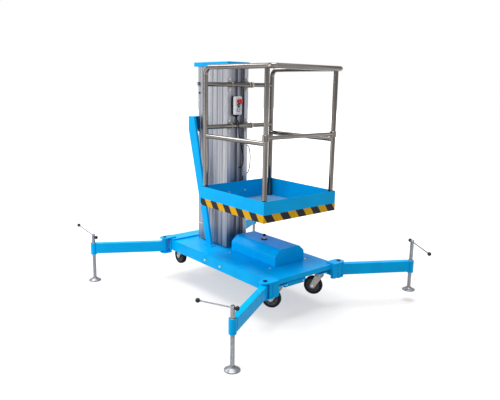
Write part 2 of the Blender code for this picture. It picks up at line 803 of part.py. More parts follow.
def rounded_corner(corner, before, after, radius):
    # Points of a fillet at a right-angled corner of a path.
    to_before = (Vector(before) - Vector(corner)).normalized()
    to_after = (Vector(after) - Vector(corner)).normalized()
    centre = Vector(corner) + (to_before + to_after) * radius
    turns = [math.pi / 2 * step / bend_steps for step in range(bend_steps + 1)]
    return [centre - to_after * radius * math.cos(turn) - to_before * radius * math.sin(turn)
            for turn in turns]


def build_top_rail():
    # One tube bent from the foot of one rear post round the platform to the foot of the other.
    z, front_y = top_rail_z, post_front_y - top_rail_overhang
    path = [(-post_x, post_rear_y, post_bottom_z), (-post_x, post_rear_y, z), (-post_x, front_y, z),
            (post_x, front_y, z), (post_x, post_rear_y, z), (post_x, post_rear_y, post_bottom_z)]
    bends = (top_rail_bend, top_rail_front_bend, top_rail_front_bend, top_rail_bend)
    points = [Vector(path[0])]
    for before, corner, after, bend in zip(path, path[1:], path[2:], bends):
        points += rounded_corner(corner, before, after, bend)
    points.append(Vector(path[-1]))
    return tube("guard_rail", points, rail_radius, stainless, resolution=4)


def coped_tube(name, start, end, radius, neighbours):
    # A straight tube whose ends are cut to the round of the tubes that it meets.
    piece = rod(name, start, end, radius, stainless)
    for number, (low, high) in enumerate(neighbours):
        cut(piece, helper_rod("%s_cope_%d" % (name, number), low, high, rail_radius + seat_gap, 24))
    return piece


def build_front_post(name, side):
    x, y = side * post_x, post_front_y
    top_rail = ((x, y - 0.1, top_rail_z), (x, y + 0.1, top_rail_z))
    return coped_tube(name, (x, y, post_bottom_z), (x, y, top_rail_z), side_tube_radius, (top_rail,))


def build_mid_rail(name, side):
    x, z = side * post_x, mid_rail_z
    front_post = ((x, post_front_y, z - 0.1), (x, post_front_y, z + 0.1))
    rear_post = ((x, post_rear_y, z - 0.1), (x, post_rear_y, z + 0.1))
    return coped_tube(name, (x, post_front_y, z), (x, post_rear_y, z), side_tube_radius,
                      (front_post, rear_post))


def build_rear_rail(name, z):
    y = post_rear_y
    posts = [((side * post_x, y, z - 0.1), (side * post_x, y, z + 0.1)) for side in (-1, 1)]
    rail = coped_tube(name, (-post_x, y, z), (post_x, y, z), side_tube_radius, posts)
    for side in (-1, 1):
        x = side * clamp_x
        saddle = helper_rod("saddle", (x - clamp_half_width, y, z), (x + clamp_half_width, y, z),
                            rail_radius + 0.004)
        half = clamp_plate_height / 2
        face_y = mast_front_y - seat_gap
        neck = box("clamp_neck", (x - clamp_half_width * 0.8, y, z - rail_radius),
                   (x + clamp_half_width * 0.8, face_y - clamp_plate / 2, z + rail_radius), zinc, helpers)
        foot = box("clamp_foot", (x - clamp_half_width, face_y - clamp_plate, z - half),
                   (x + clamp_half_width, face_y, z + half), zinc, helpers)
        join(rail, saddle, neck, foot)
    return rail


def build_gate():
    # The collars ride on the front posts and rest on the middle rails.
    half = gate_collar_height / 2
    x, y, z = post_x, post_front_y, mid_rail_z + side_tube_radius + seat_gap + half
    bar = rod("gate_bar", (-x, y, z), (x, y, z), gate_bar_radius, stainless)
    for side in (-1, 1):
        collar = helper_rod("collar", (side * x, y, z - half), (side * x, y, z + half),
                            gate_collar_radius, 20)
        join(bar, collar)
    for side in (-1, 1):
        cut(bar, helper_rod("collar_bore", (side * x, y, z - 0.1), (side * x, y, z + 0.1),
                            side_tube_radius + slide_gap, 20))
    return bar


# Controls and cables
def build_control_box():
    back = mast_front_y - seat_gap
    low = (box_centre_x - box_half_width, back - box_depth, box_bottom_z)
    high = (box_centre_x + box_half_width, back, box_bottom_z + box_height)
    body = box("control_box", low, high, grey_plastic)
    gland_y = back - gland_from_mast
    gland = helper_rod("gland", (box_centre_x, gland_y, box_bottom_z - gland_height),
                       (box_centre_x, gland_y, box_bottom_z + 0.002), gland_radius, 16)
    return join(body, gland)


def build_stop_button():
    face_y = mast_front_y - seat_gap - box_depth - seat_gap
    profile = [(0.0, 0.030), (button_radius * 0.7, 0.029), (button_radius, 0.024),
               (button_radius, 0.016), (0.011, 0.013), (0.011, 0.006), (0.017, 0.005), (0.017, 0.0),
               (0.0, 0.0)]
    frame = Matrix.Translation((box_centre_x, face_y, box_bottom_z + button_height_in_box))
    frame = frame @ Matrix.Rotation(math.radians(90), 4, "X")
    return turned("stop_button", profile, frame, red_plastic, steps=16)


def smooth_route(points, count):
    # A Catmull-Rom curve through the route's own points.
    route = [Vector(point) for point in points]
    route = [2 * route[0] - route[1]] + route + [2 * route[-1] - route[-2]]
    spans = len(route) - 3
    smooth = []
    for number in range(count):
        position = number / (count - 1) * spans
        span = min(int(position), spans - 1)
        t = position - span
        a, b, c, d = route[span:span + 4]
        smooth.append(0.5 * (2 * b + (c - a) * t + (2 * a - 5 * b + 4 * c - d) * t ** 2
                             + (3 * b - a - 3 * c + d) * t ** 3))
    return smooth


def build_control_cable():
    gland_y = mast_front_y - seat_gap - gland_from_mast
    web_y = mast_front_y + channel_depth
    start = (box_centre_x, gland_y, box_bottom_z - gland_height - seat_gap)
    end = (0.046, web_y - seat_gap, 1.045)
    route = [(box_centre_x, gland_y, start[2] - cable_lead), (box_centre_x - 0.004, 0.098, 1.440),
             (box_centre_x - 0.007, 0.083, 1.402), (-0.024, 0.092, 1.340), (0.010, 0.104, 1.240),
             (0.038, 0.108, 1.150), (0.046, 0.122, 1.082), (0.046, 0.146, 1.050),
             (0.046, end[1] - cable_lead, end[2])]
    points = [start] + smooth_route(route, 28) + [end]
    return tube("control_cable", points, cable_radius, black_plastic)


def build_side_cable():
    side_x = mast_half_width + seat_gap
    y = mast_front_y + 0.020
    upper, lower = (side_x, y, 1.235), (side_x, y, 0.985)
    route = [(side_x + cable_lead, y, upper[2]), (0.142, y, 1.215), (0.155, y, 1.165),
             (0.158, y, 1.110), (0.154, y, 1.050), (0.140, y, 1.004),
             (side_x + cable_lead, y, lower[2])]
    points = [upper] + smooth_route(route, 20) + [lower]
    return tube("side_cable", points, cable_radius, black_plastic)


# Assembly
build_deck()
build_side_member("side_member_left", -1)
build_side_member("side_member_right", 1)
build_front_beam()
build_pan()
build_rear_beam()
for corner, side, end, azimuth, tilt, reach, foot_height in corners:
    build_bracket("bracket_" + corner, side, end)
    build_pin("pin_" + corner, side, end)
    build_arm("arm_" + corner, side, end)
    build_jack("jack_" + corner, side, end, azimuth, tilt, reach, foot_height)
    trail_turn = math.radians(caster_front_turn if end < 0 else caster_rear_turn)
    build_caster("caster_" + corner, side * caster_x, caster_front_y if end < 0 else caster_rear_y,
                 trail_turn)
build_cover()
build_power_pack()
build_lowering_knob()
for index in range(mast_sections):
    build_mast_section(index)
build_cap()
build_brace()
build_brace_leg("brace_leg_left", -1)
build_brace_leg("brace_leg_right", 1)
build_tray()
build_floor()
build_top_rail()
build_front_post("post_front_left", -1)
build_front_post("post_front_right", 1)
build_mid_rail("mid_rail_left", -1)
build_mid_rail("mid_rail_right", 1)
build_rear_rail("rear_rail_upper", rear_rail_heights[0])
build_rear_rail("rear_rail_lower", rear_rail_heights[1])
build_gate()
build_control_box()
build_stop_button()
build_control_cable()
build_side_cable()
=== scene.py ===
import json
import math

import bmesh
import bpy
from mathutils import Matrix, Vector

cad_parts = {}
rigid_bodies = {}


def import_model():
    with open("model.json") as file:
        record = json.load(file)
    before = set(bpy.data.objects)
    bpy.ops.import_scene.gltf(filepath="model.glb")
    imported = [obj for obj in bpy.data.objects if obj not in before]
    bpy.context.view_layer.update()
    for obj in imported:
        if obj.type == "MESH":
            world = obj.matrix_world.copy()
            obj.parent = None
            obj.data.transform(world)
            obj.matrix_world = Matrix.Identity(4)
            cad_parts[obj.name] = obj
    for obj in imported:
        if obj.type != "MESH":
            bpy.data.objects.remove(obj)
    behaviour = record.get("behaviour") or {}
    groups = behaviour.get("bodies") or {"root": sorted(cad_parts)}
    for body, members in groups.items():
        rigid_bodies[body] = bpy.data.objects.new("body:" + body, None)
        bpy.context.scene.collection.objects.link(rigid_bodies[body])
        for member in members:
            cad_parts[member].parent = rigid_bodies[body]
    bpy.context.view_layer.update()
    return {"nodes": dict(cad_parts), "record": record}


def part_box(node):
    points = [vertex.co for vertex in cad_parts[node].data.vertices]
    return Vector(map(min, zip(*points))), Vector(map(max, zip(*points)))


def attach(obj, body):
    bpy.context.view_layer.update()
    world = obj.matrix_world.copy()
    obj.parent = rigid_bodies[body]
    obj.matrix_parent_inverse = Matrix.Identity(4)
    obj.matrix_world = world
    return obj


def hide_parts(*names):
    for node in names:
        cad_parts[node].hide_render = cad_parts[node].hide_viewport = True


# empty the file first, so that it holds only the lift
for leftover in list(bpy.data.objects):
    bpy.data.objects.remove(leftover, do_unlink=True)

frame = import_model()
cadNodes = frame["nodes"]
print("frame loaded,", len(cadNodes), "nodes")


# materials

def linearFromHex(code):
    shares = [int(code[place:place + 2], 16) / 255 for place in (1, 3, 5)]
    return [share / 12.92 if share <= 0.04045 else ((share + 0.055) / 1.055) ** 2.4
            for share in shares] + [1.0]


def addNode(tree, kind, settings, links):
    node = tree.nodes.new(kind)
    for name, value in settings.items():
        if isinstance(name, int) or name in node.inputs:
            node.inputs[name].default_value = value
        else:
            setattr(node, name, value)
    for name, source in links.items():
        tree.links.new(source, node.inputs[name])
    return node


def addMath(tree, operation, first, second=0.0):
    # second is a number or the output of another node
    settings, links = {"operation": operation}, {0: first}
    if isinstance(second, float):
        settings[1] = second
    else:
        links[1] = second
    return addNode(tree, "ShaderNodeMath", settings, links).outputs[0]


def startMaterial(name, settings):
    material = bpy.data.materials.new(name)
    material.use_nodes = True
    tree = material.node_tree
    shader = tree.nodes["Principled BSDF"]
    for socket, value in settings.items():
        shader.inputs[socket].default_value = value
    coordinates = tree.nodes.new("ShaderNodeTexCoord").outputs["Object"]
    return material, tree, shader, coordinates


def plug(source, shader, socket):
    shader.id_data.links.new(source, shader.inputs[socket])


def addNoise(tree, coordinates, sizeMm, detail, stretch=None):
    # sizeMm is the size of one blotch, stretch squeezes the pattern along an axis
    if stretch:
        coordinates = addNode(tree, "ShaderNodeMapping", {"Scale": stretch},
                {"Vector": coordinates}).outputs[0]
    return addNode(tree, "ShaderNodeTexNoise", {"Scale": 1000 / sizeMm, "Detail": detail},
            {"Vector": coordinates}).outputs["Fac"]


def mixColours(tree, factor, first, second):
    return addNode(tree, "ShaderNodeMix", {"data_type": "RGBA", 6: linearFromHex(first),
            7: linearFromHex(second)}, {0: factor}).outputs[2]


def spread(tree, factor, low, high, start=0.35, stop=0.65):
    return addNode(tree, "ShaderNodeMapRange", {"From Min": start, "From Max": stop, "To Min": low,
            "To Max": high}, {"Value": factor}).outputs[0]


def addBump(tree, shader, height, depthMm, strength):
    bump = addNode(tree, "ShaderNodeBump", {"Strength": strength, "Distance": depthMm / 1000},
            {"Height": height})
    plug(bump.outputs[0], shader, "Normal")


def paintMaterial(name, light, dark, roughness, coat, peelMm, peelDepthMm):
    # sprayed and baked powder: slow drifts of tone, an orange-peel skin, a thin clear gloss
    material, tree, shader, coordinates = startMaterial(
        name, {"Specular IOR Level": 0.04, "Coat Weight": coat, "Coat Roughness": 0.15})
    drift = addNoise(tree, coordinates, 160, 3.0)
    plug(mixColours(tree, spread(tree, drift, 0, 1), light, dark), shader, "Base Color")
    sheen = addNoise(tree, coordinates, 35, 4.0)
    plug(spread(tree, sheen, roughness - 0.05, roughness + 0.06), shader, "Roughness")
    addBump(tree, shader, addNoise(tree, coordinates, peelMm, 1.0), peelDepthMm, 0.35)
    return material


def grainedMaterial(name, settings, tones, gloss, sizesMm, depthMm, stretch=None):
    # tones and gloss are pairs, light to dark and smooth to rough; sizes are of a blotch and a grain
    material, tree, shader, coordinates = startMaterial(name, settings)
    blotch = addNoise(tree, coordinates, sizesMm[0], 3.0, stretch)
    plug(mixColours(tree, spread(tree, blotch, 0, 1), *tones), shader, "Base Color")
    grain = addNoise(tree, coordinates, sizesMm[1], 2.0, stretch)
    plug(spread(tree, grain, *gloss), shader, "Roughness")
    addBump(tree, shader, grain, depthMm, 0.3)
    return material


def metalMaterial(name, light, dark, roughness, blotchMm, grainMm, grainDepthMm, stretch=None):
    # bare or plated metal, its pattern stretched where it was drawn or rolled
    return grainedMaterial(name, {"Metallic": 1.0}, (light, dark), (roughness - 0.04, roughness + 0.07),
            (blotchMm, grainMm), grainDepthMm, stretch)


def shadeInChannel(material, halfWidth, depthY, tone):
    # painted shade: a darker tone in the recessed channel where the next profile slides, on x within
    # halfWidth and y before depthY
    tree = material.node_tree
    shader = tree.nodes["Principled BSDF"]
    unshaded = shader.inputs["Base Color"].links[0].from_socket
    place = addNode(tree, "ShaderNodeSeparateXYZ", {},
            {0: tree.nodes["Texture Coordinate"].outputs["Object"]}).outputs
    side = addMath(tree, "ABSOLUTE", place["X"])
    paintedShade = addMath(tree, "MULTIPLY", addMath(tree, "LESS_THAN", side, halfWidth),
            addMath(tree, "LESS_THAN", place["Y"], depthY))
    shaded = addNode(tree, "ShaderNodeMix", {"data_type": "RGBA", 7: linearFromHex(tone)},
            {0: paintedShade, 6: unshaded}).outputs[2]
    plug(shaded, shader, "Base Color")


def plasticMaterial(name, light, dark, roughness, grainMm, grainDepthMm, shine=0.3):
    # moulded plastic or rubber: a fine moulded grain and a slight change of tone
    return grainedMaterial(name, {"Specular IOR Level": shine}, (light, dark),
            (roughness - 0.05, roughness + 0.08), (22, grainMm), grainDepthMm)


# powder coat on the welded steel
bluePaint = paintMaterial("blue powder coat on steel", "#00ADF0", "#00A5E8", 0.36, 0.04, 2.2, 0.05)
# the same coat with grit in it, on the standing plate
floorPaint = paintMaterial("gritted platform floor coat", "#6A9CC4", "#5A8CB6", 0.46, 0.02, 1.4, 0.25)
# vertical die lines of the drawn profile under a thin anodised skin
drawnSkin = ("#A9AAAF", "#8E9099", 0.42, 14, 1.6, 0.03, (1.0, 1.0, 0.01))
anodised = metalMaterial("anodised aluminium extrusion", *drawnSkin)
# the same skin with painted shade, a darker tone in its recessed front channel where shade falls
profileWithPaintedShade = metalMaterial("anodised profile with painted shade in its channel", *drawnSkin)
shadeInChannel(profileWithPaintedShade, 0.0695, 0.176, "#84868F")
# drawn tube with polishing streaks that run along it: across the platform, along it, upright; the three
# copies differ in tone as painted light and shade, each toned for how light falls on tubes of that direction
tubeSteelLitAndShaded = [metalMaterial("polished stainless tube, " + run, light, dark, 0.12, 15, 3.0, 0.003, stretch)
             for run, light, dark, stretch in (("across", "#827E7A", "#504C49", (0.02, 1.0, 1.0)),
                                               ("along", "#8E8A87", "#585350", (1.0, 0.02, 1.0)),
                                               ("upright", "#7C7875", "#4C4845", (1.0, 1.0, 0.02)))]
zincPlate = metalMaterial("bright zinc plated steel", "#DDDFE2", "#CBCBC8", 0.30, 9, 0.8, 0.02)
barSteel = metalMaterial("drawn steel bar", "#85868A", "#727377", 0.26, 14, 0.8, 0.02)
threadSteel = metalMaterial("oiled steel screw", "#9DA0A5", "#85878D", 0.30, 12, 0.6, 0.02)
footZinc = metalMaterial("cast and plated jack foot", "#8E9094", "#727478", 0.38, 18, 1.0, 0.04)
dullZinc = metalMaterial("dull zinc caster steel", "#A8A4A0", "#928D88", 0.42, 16, 1.1, 0.04)
tyreRubber = plasticMaterial("black rubber tyre", "#15161C", "#1D1E26", 0.62, 0.9, 0.08, 0.12)
hubPlastic = plasticMaterial("grey nylon hub", "#4A4C52", "#404248", 0.45, 0.8, 0.04)
blackPlastic = plasticMaterial("black phenolic plastic", "#08080B", "#0E0E12", 0.22, 0.7, 0.01)
blackShell = plasticMaterial("black ABS shell", "#0E0F13", "#15161B", 0.46, 0.7, 0.05, 0.15)
greyShell = plasticMaterial("light grey ABS panel", "#ECEBF1", "#E2E1E8", 0.42, 0.7, 0.05)
redPlastic = plasticMaterial("red polycarbonate cap", "#E01E16", "#CE160F", 0.26, 0.8, 0.01)
cableSkin = plasticMaterial("black PVC cable skin", "#08080C", "#0E0E12", 0.60, 1.2, 0.02, 0.05)
whiteNylon = plasticMaterial("white nylon strap", "#E4E6E8", "#D8DBDE", 0.38, 0.8, 0.02)
tapeYellow = plasticMaterial("yellow hazard vinyl", "#DAA80A", "#CE9C06", 0.38, 1.0, 0.01, 0.10)
tapeBlack = plasticMaterial("black hazard vinyl", "#17171F", "#1E1E28", 0.38, 1.0, 0.01, 0.12)

slotMaterials = {
    "blue_paint": bluePaint,
    "mill_aluminium": anodised,
    "stainless_tube": tubeSteelLitAndShaded[2],
    "zinc_plate": zincPlate,
    "black_rubber": tyreRubber,
    "black_plastic": blackPlastic,
    "grey_plastic": greyShell,
    "red_plastic": redPlastic,
}
print("materials made")


# helpers for shapes

# vertices closer than this are one
mergeDistance = 0.00001


def edgesOf(verts):
    known = set(verts)
    return list({edge for vert in verts for edge in vert.link_edges
                 if edge.verts[0] in known and edge.verts[1] in known})


def vertsIn(items):
    return [item for item in items if isinstance(item, bmesh.types.BMVert)]


def moved(*place):
    return Matrix.Translation(place)


def turned(degrees, axis="Z"):
    return Matrix.Rotation(math.radians(degrees), 4, axis)


def pointed(direction, axis="Z"):
    # turns an axis to a direction
    return Vector(direction).to_track_quat(axis, "Y").to_matrix().to_4x4()


def aimed(start, end):
    # the frame of a rod: its middle, with Z along it
    start, end = Vector(start), Vector(end)
    return moved(*(start + end) / 2) @ pointed(end - start)


def addObject(name, data):
    added = bpy.data.objects.new(name, data)
    bpy.context.scene.collection.objects.link(added)
    return added


def pour(part, shape, matrix=None, mark=0):
    # puts a finished part into the piece, placed and marked with its material
    if matrix:
        bmesh.ops.transform(part, matrix=matrix, verts=part.verts)
    for number, face in enumerate(part.faces):
        if mark == "run":
            longest = max(face.edges, key=lambda edge: edge.calc_length())
            way = longest.verts[1].co - longest.verts[0].co
            face.material_index = max(range(3), key=lambda axis: abs(way[axis]))
        else:
            face.material_index = mark[number] if isinstance(mark, list) else mark
    bmesh.ops.recalc_face_normals(part, faces=part.faces)
    mesh = bpy.data.meshes.new("part")
    part.to_mesh(mesh)
    part.free()
    shape.from_mesh(mesh)
    bpy.data.meshes.remove(mesh)


def roundEdges(part, edges, width, segments=2):
    bmesh.ops.bevel(part, geom=edges, offset=width, segments=segments, profile=0.5, affect="EDGES",
            clamp_overlap=True, material=-1)


def sharpEdges(part):
    return [edge for edge in part.edges if len(edge.link_faces) == 2 and edge.calc_face_angle() > 1.0]


def startBox(low, high):
    part = bmesh.new()
    low, high = Vector(low), Vector(high)
    bmesh.ops.create_cube(part, size=1.0)
    bmesh.ops.scale(part, vec=high - low, verts=part.verts)
    bmesh.ops.translate(part, vec=(high + low) / 2, verts=part.verts)
    return part


def cutThrough(part, place, normal, clear=False):
    return bmesh.ops.bisect_plane(part, geom=part.verts[:] + part.edges[:] + part.faces[:],
            plane_co=place, plane_no=normal, clear_outer=clear)["geom_cut"]


def addBox(shape, low, high, width, segments=2, matrix=None, mark=0):
    part = startBox(low, high)
    roundEdges(part, part.edges[:], width, segments)
    pour(part, shape, matrix, mark)


def addPlate(shape, low, high, isRound, radius, matrix):
    # a box with large round corners: isRound(middle of an edge) says which edges take the radius
    part = startBox(low, high)
    chosen = [edge for edge in part.edges if isRound((edge.verts[0].co + edge.verts[1].co) / 2)]
    roundEdges(part, chosen, radius, 8)
    roundEdges(part, sharpEdges(part), 0.001)
    pour(part, shape, matrix)


def addRod(shape, start, end, radius, sides, width=0.0006, matrix=None, mark=0):
    part = bmesh.new()
    length = (Vector(end) - Vector(start)).length
    bmesh.ops.create_cone(part, cap_ends=True, segments=sides, radius1=radius, radius2=radius,
            depth=length, matrix=aimed(start, end))
    if width:
        roundEdges(part, sharpEdges(part), width)
    pour(part, shape, matrix, mark)


def addBall(shape, centre, radius, rings, matrix):
    part = bmesh.new()
    bmesh.ops.create_uvsphere(part, u_segments=rings * 2, v_segments=rings, radius=radius,
            matrix=moved(*centre))
    pour(part, shape, matrix)


def addTurned(shape, profile, steps, matrix, mark=0, turns=1, rise=0.0):
    # spins (radius, height) pairs round Z, once, or as a thread that rises by a pitch each turn
    part = bmesh.new()
    points = [part.verts.new((radius, 0.0, height)) for radius, height in profile]
    lines = [part.edges.new(pair) for pair in zip(points, points[1:])]
    bmesh.ops.spin(part, geom=points + lines, cent=(0, 0, 0), axis=(0, 0, 1), angle=2 * math.pi * turns,
            steps=steps * turns, dvec=(0, 0, rise / steps), use_merge=not rise)
    bmesh.ops.remove_doubles(part, verts=part.verts, dist=mergeDistance)
    pour(part, shape, matrix, mark)


def mirrored(lower):
    # a closed profile from its lower half
    return lower + [(radius, -height) for radius, height in reversed(lower)] + lower[:1]


def addTube(shape, corners, bends, radius, sides, bendSteps, mark=0):
    # a tube along straight runs, spun round each bend
    part = bmesh.new()
    corners = [Vector(corner) for corner in corners]
    heading = (corners[1] - corners[0]).normalized()
    here = corners[0]
    ring = bmesh.ops.create_circle(part, cap_ends=True, segments=sides, radius=radius,
            matrix=moved(*here) @ pointed(heading))["verts"]
    lines = edgesOf(ring)
    for number in range(1, len(corners)):
        last = number == len(corners) - 1
        stop = corners[number]
        if not last:
            bend = bends[number - 1]
            onward = (corners[number + 1] - corners[number]).normalized()
            angle = heading.angle(onward)
            stop = corners[number] - heading * bend * math.tan(angle / 2)
        grown = bmesh.ops.extrude_edge_only(part, edges=lines)["geom"]
        ring = vertsIn(grown)
        lines = edgesOf(ring)
        bmesh.ops.translate(part, vec=stop - here, verts=ring)
        here = stop
        if not last:
            inward = (onward - heading * heading.dot(onward)).normalized()
            spun = bmesh.ops.spin(part, geom=ring + lines, cent=stop + inward * bend,
                    axis=heading.cross(onward), angle=angle, steps=bendSteps)
            ring = vertsIn(spun["geom_last"])
            lines = edgesOf(ring)
            here = corners[number] + onward * bend * math.tan(angle / 2)
            heading = onward
    bmesh.ops.contextual_create(part, geom=lines)
    pour(part, shape, None, mark)


def addHex(shape, spot, normal, across, height, washer=0.0, mark=0):
    # a hexagon head or nut standing on a face, with a washer under it
    spot, normal = Vector(spot), Vector(normal).normalized()
    if washer:
        addRod(shape, spot, spot + normal * 0.0015, washer, 24, 0.0003, mark=mark)
        spot = spot + normal * 0.0015
    part = bmesh.new()
    bmesh.ops.create_cone(part, cap_ends=True, segments=6, radius1=across / math.sqrt(3),
            radius2=across / math.sqrt(3), depth=height, matrix=aimed(spot, spot + normal * height))
    roundEdges(part, part.edges[:], across * 0.05)
    pour(part, shape, None, mark)


def addScrewHead(shape, spot, normal, radius, height):
    # a button head with a hexagon socket
    profile = [(0.0, 0.0), (radius, 0.0), (radius, height * 0.35), (radius * 0.86, height * 0.75),
            (radius * 0.55, height), (radius * 0.42, height), (radius * 0.38, height * 0.45),
            (0.0, height * 0.45)]
    addTurned(shape, profile, 18, moved(*spot) @ pointed(normal))


def finishPiece(name, shape, materials, body, replaced=(), smoothAngle=38, weighted=True):
    mesh = bpy.data.meshes.new(name)
    shape.to_mesh(mesh)
    shape.free()
    for material in materials:
        mesh.materials.append(material)
    mesh.shade_smooth()
    mesh.set_sharp_from_angle(angle=math.radians(smoothAngle))
    piece = addObject(name, mesh)
    if weighted:
        piece.modifiers.new("even faces", "WEIGHTED_NORMAL").keep_sharp = True
    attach(piece, body)
    if replaced:
        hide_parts(*replaced)


def softenNode(name, width, segments=2):
    # joins the loose triangles of a CAD node and rounds its edges
    node = cadNodes[name]
    node.modifiers.new("join", "WELD").merge_threshold = 0.00005
    flat = node.modifiers.new("flat", "DECIMATE")
    flat.decimate_type = "DISSOLVE"
    flat.angle_limit = math.radians(0.5)
    edge = node.modifiers.new("edge", "BEVEL")
    edge.width = width
    edge.segments = segments
    edge.limit_method = "ANGLE"
    edge.angle_limit = math.radians(40)


# CAD nodes that stay

for part in frame["record"]["subparts"]:
    mesh = cadNodes[part["node"]].data
    mesh.materials.clear()
    mesh.materials.append(slotMaterials[part["material_slot"]])

cadNodes["platform_floor"].data.materials[0] = floorPaint
# the innermost profile takes the copy with painted shade in its front channel
cadNodes["mast_section_6"].data.materials[0] = profileWithPaintedShade
softened = {
    "deck_plate": 0.0018, "side_member_left": 0.003, "side_member_right": 0.003,
    "front_cross_member": 0.0015, "rear_cross_member": 0.0022, "brace_cross_bar": 0.0022,
    "brace_leg_left": 0.0022, "brace_leg_right": 0.0022, "platform_tray": 0.0012,
    "platform_floor": 0.0008, "mast_cap": 0.0014, "power_pack": 0.004,
    "under_pan": 0.0015,
}
for nodeName, width in softened.items():
    softenNode(nodeName, width)
for number in range(1, 7):
    softenNode("mast_section_%d" % number, 0.0005, 1)
print("kept nodes softened")


# base frame details

frameBolt = {"across": 0.013, "height": 0.0055, "washer": 0.0095}
panScrew = {"across": 0.008, "height": 0.0035}
# x and y of the bolts that hold the power unit's cover and the mast's foot on the deck
deckBoltSpots = ((-0.156, 0.028), (-0.157, -0.477), (0.218, -0.481), (0.218, 0.028))
sideBolts = {"z": 0.302, "y": (0.124, -0.083)}
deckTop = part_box("deck_plate")[1].z
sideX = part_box("side_member_left")[0].x


def baseBolts():
    shape = bmesh.new()
    # bolts through the left and right side members
    for y in sideBolts["y"]:
        for side in (-1, 1):
            addHex(shape, (side * -sideX, y, sideBolts["z"]), (side, 0, 0), **frameBolt)
    for x, y in deckBoltSpots:
        addHex(shape, (x, y, deckTop), (0, 0, 1), **frameBolt)
    # screws of the sump pan's front wall
    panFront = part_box("under_pan")[0].y
    for x in (-0.152, 0.02):
        addHex(shape, (x, panFront, 0.277), (0, -1, 0), **panScrew)
    finishPiece("base_bolts", shape, [zincPlate], "base")


baseBolts()


# outrigger brackets and pins

pinX, pinY = 0.393, 0.688
# heights of the lower lug and of the upper ones, which sit higher at the rear
bracket = {"nose": 0.04, "halfWidth": 0.045, "guardRadius": 0.016, "lowerLug": (0.24, 0.25),
        "frontLug": (0.3573, 0.3673), "rearLug": (0.3703, 0.3803)}
pinFoot = 0.2397
# side and end of each corner: -1 is left or front
corners = {"front_left": (-1, -1), "rear_left": (-1, 1), "front_right": (1, -1), "rear_right": (1, 1)}


def outriggerBracket(name, side, end):
    shape = bmesh.new()
    half, nose = bracket["halfWidth"], bracket["nose"]
    near, far, tip = pinY - half, pinY + half, pinX + nose
    lugZ, lowerZ = bracket["rearLug" if end > 0 else "frontLug"], bracket["lowerLug"]
    flip = Matrix.Diagonal((side, end, 1, 1))

    def outerUpright(middle):
        return middle.x > pinX + 0.03 and abs(abs(middle.y - pinY) - half) < 0.001

    addPlate(shape, (0.3, near, lugZ[0]), (tip, far, lugZ[1]), outerUpright, nose, flip)
    addPlate(shape, (0.3463, near, lowerZ[0]), (tip, far, lowerZ[1]), outerUpright, nose, flip)
    addBox(shape, (0.3453, near + 0.001, lowerZ[0] + 0.002), (0.3533, far - 0.001, lugZ[1] - 0.002),
           0.0012, matrix=flip)
    if end < 0:
        def lowerCorner(middle):
            return middle.z < 0.26 and (middle.x < 0.3 or middle.x > 0.37) and abs(middle.y - 0.724) < 0.001

        addPlate(shape, (0.29, 0.72, 0.243), (0.385, 0.728, 0.3643), lowerCorner, bracket["guardRadius"],
                flip)
        addBox(shape, (0.291, 0.7003, 0.244), (0.298, 0.7215, 0.356), 0.001, matrix=flip)
    finishPiece("lugs_" + name, shape, [bluePaint], "base", ["bracket_" + name])

    shape = bmesh.new()
    x, y, capLow = side * pinX, end * pinY, lugZ[1] + 0.0003
    addTurned(shape, [(0.0, capLow + 0.008), (0.0125, capLow + 0.008), (0.0148, capLow + 0.007),
            (0.016, capLow + 0.005), (0.016, capLow), (0.01, capLow), (0.01, pinFoot), (0.0, pinFoot)],
            40, moved(x, y, 0))
    addHex(shape, (x, y, pinFoot), (0, 0, -1), 0.0235, 0.009, 0.0138)
    addRod(shape, (x, y, 0.229), (x, y, 0.2275), 0.006, 20)
    finishPiece("pin_set_" + name, shape, [blackPlastic], "base", ["pin_" + name])


for cornerName, (side, end) in corners.items():
    outriggerBracket(cornerName, side, end)
print("base frame done")


# outriggers and jacks

arm = {"length": 0.622, "angle": 30.2, "halfWidth": 0.025, "low": 0.254, "high": 0.346, "eyeLow": 0.2506}
jack = {"screwRadius": 0.0149, "pitch": 0.006, "threadDepth": 0.0014, "screwTop": 0.43,
        "footRadius": 0.0525, "handleZ": 0.415, "handleRadius": 0.0045, "handleLength": 0.277,
        "knobRadius": 0.0155, "stepsPerTurn": 16}
# azimuth and tilt of each T-bar in degrees, reach of its far knob, height of the foot
handles = {
    "front_left": (115.2, 0.0, 0.246, 0.0),
    "rear_left": (99.0, 13.0, 0.2318, 0.0),
    "front_right": (-114.0, -7.0, 0.246, 0.09),
    "rear_right": (-64.8, 0.0, 0.246, 0.0),
}


def armTurn(side, end):
    # in degrees
    return end * (arm["angle"] if side > 0 else 180 - arm["angle"])


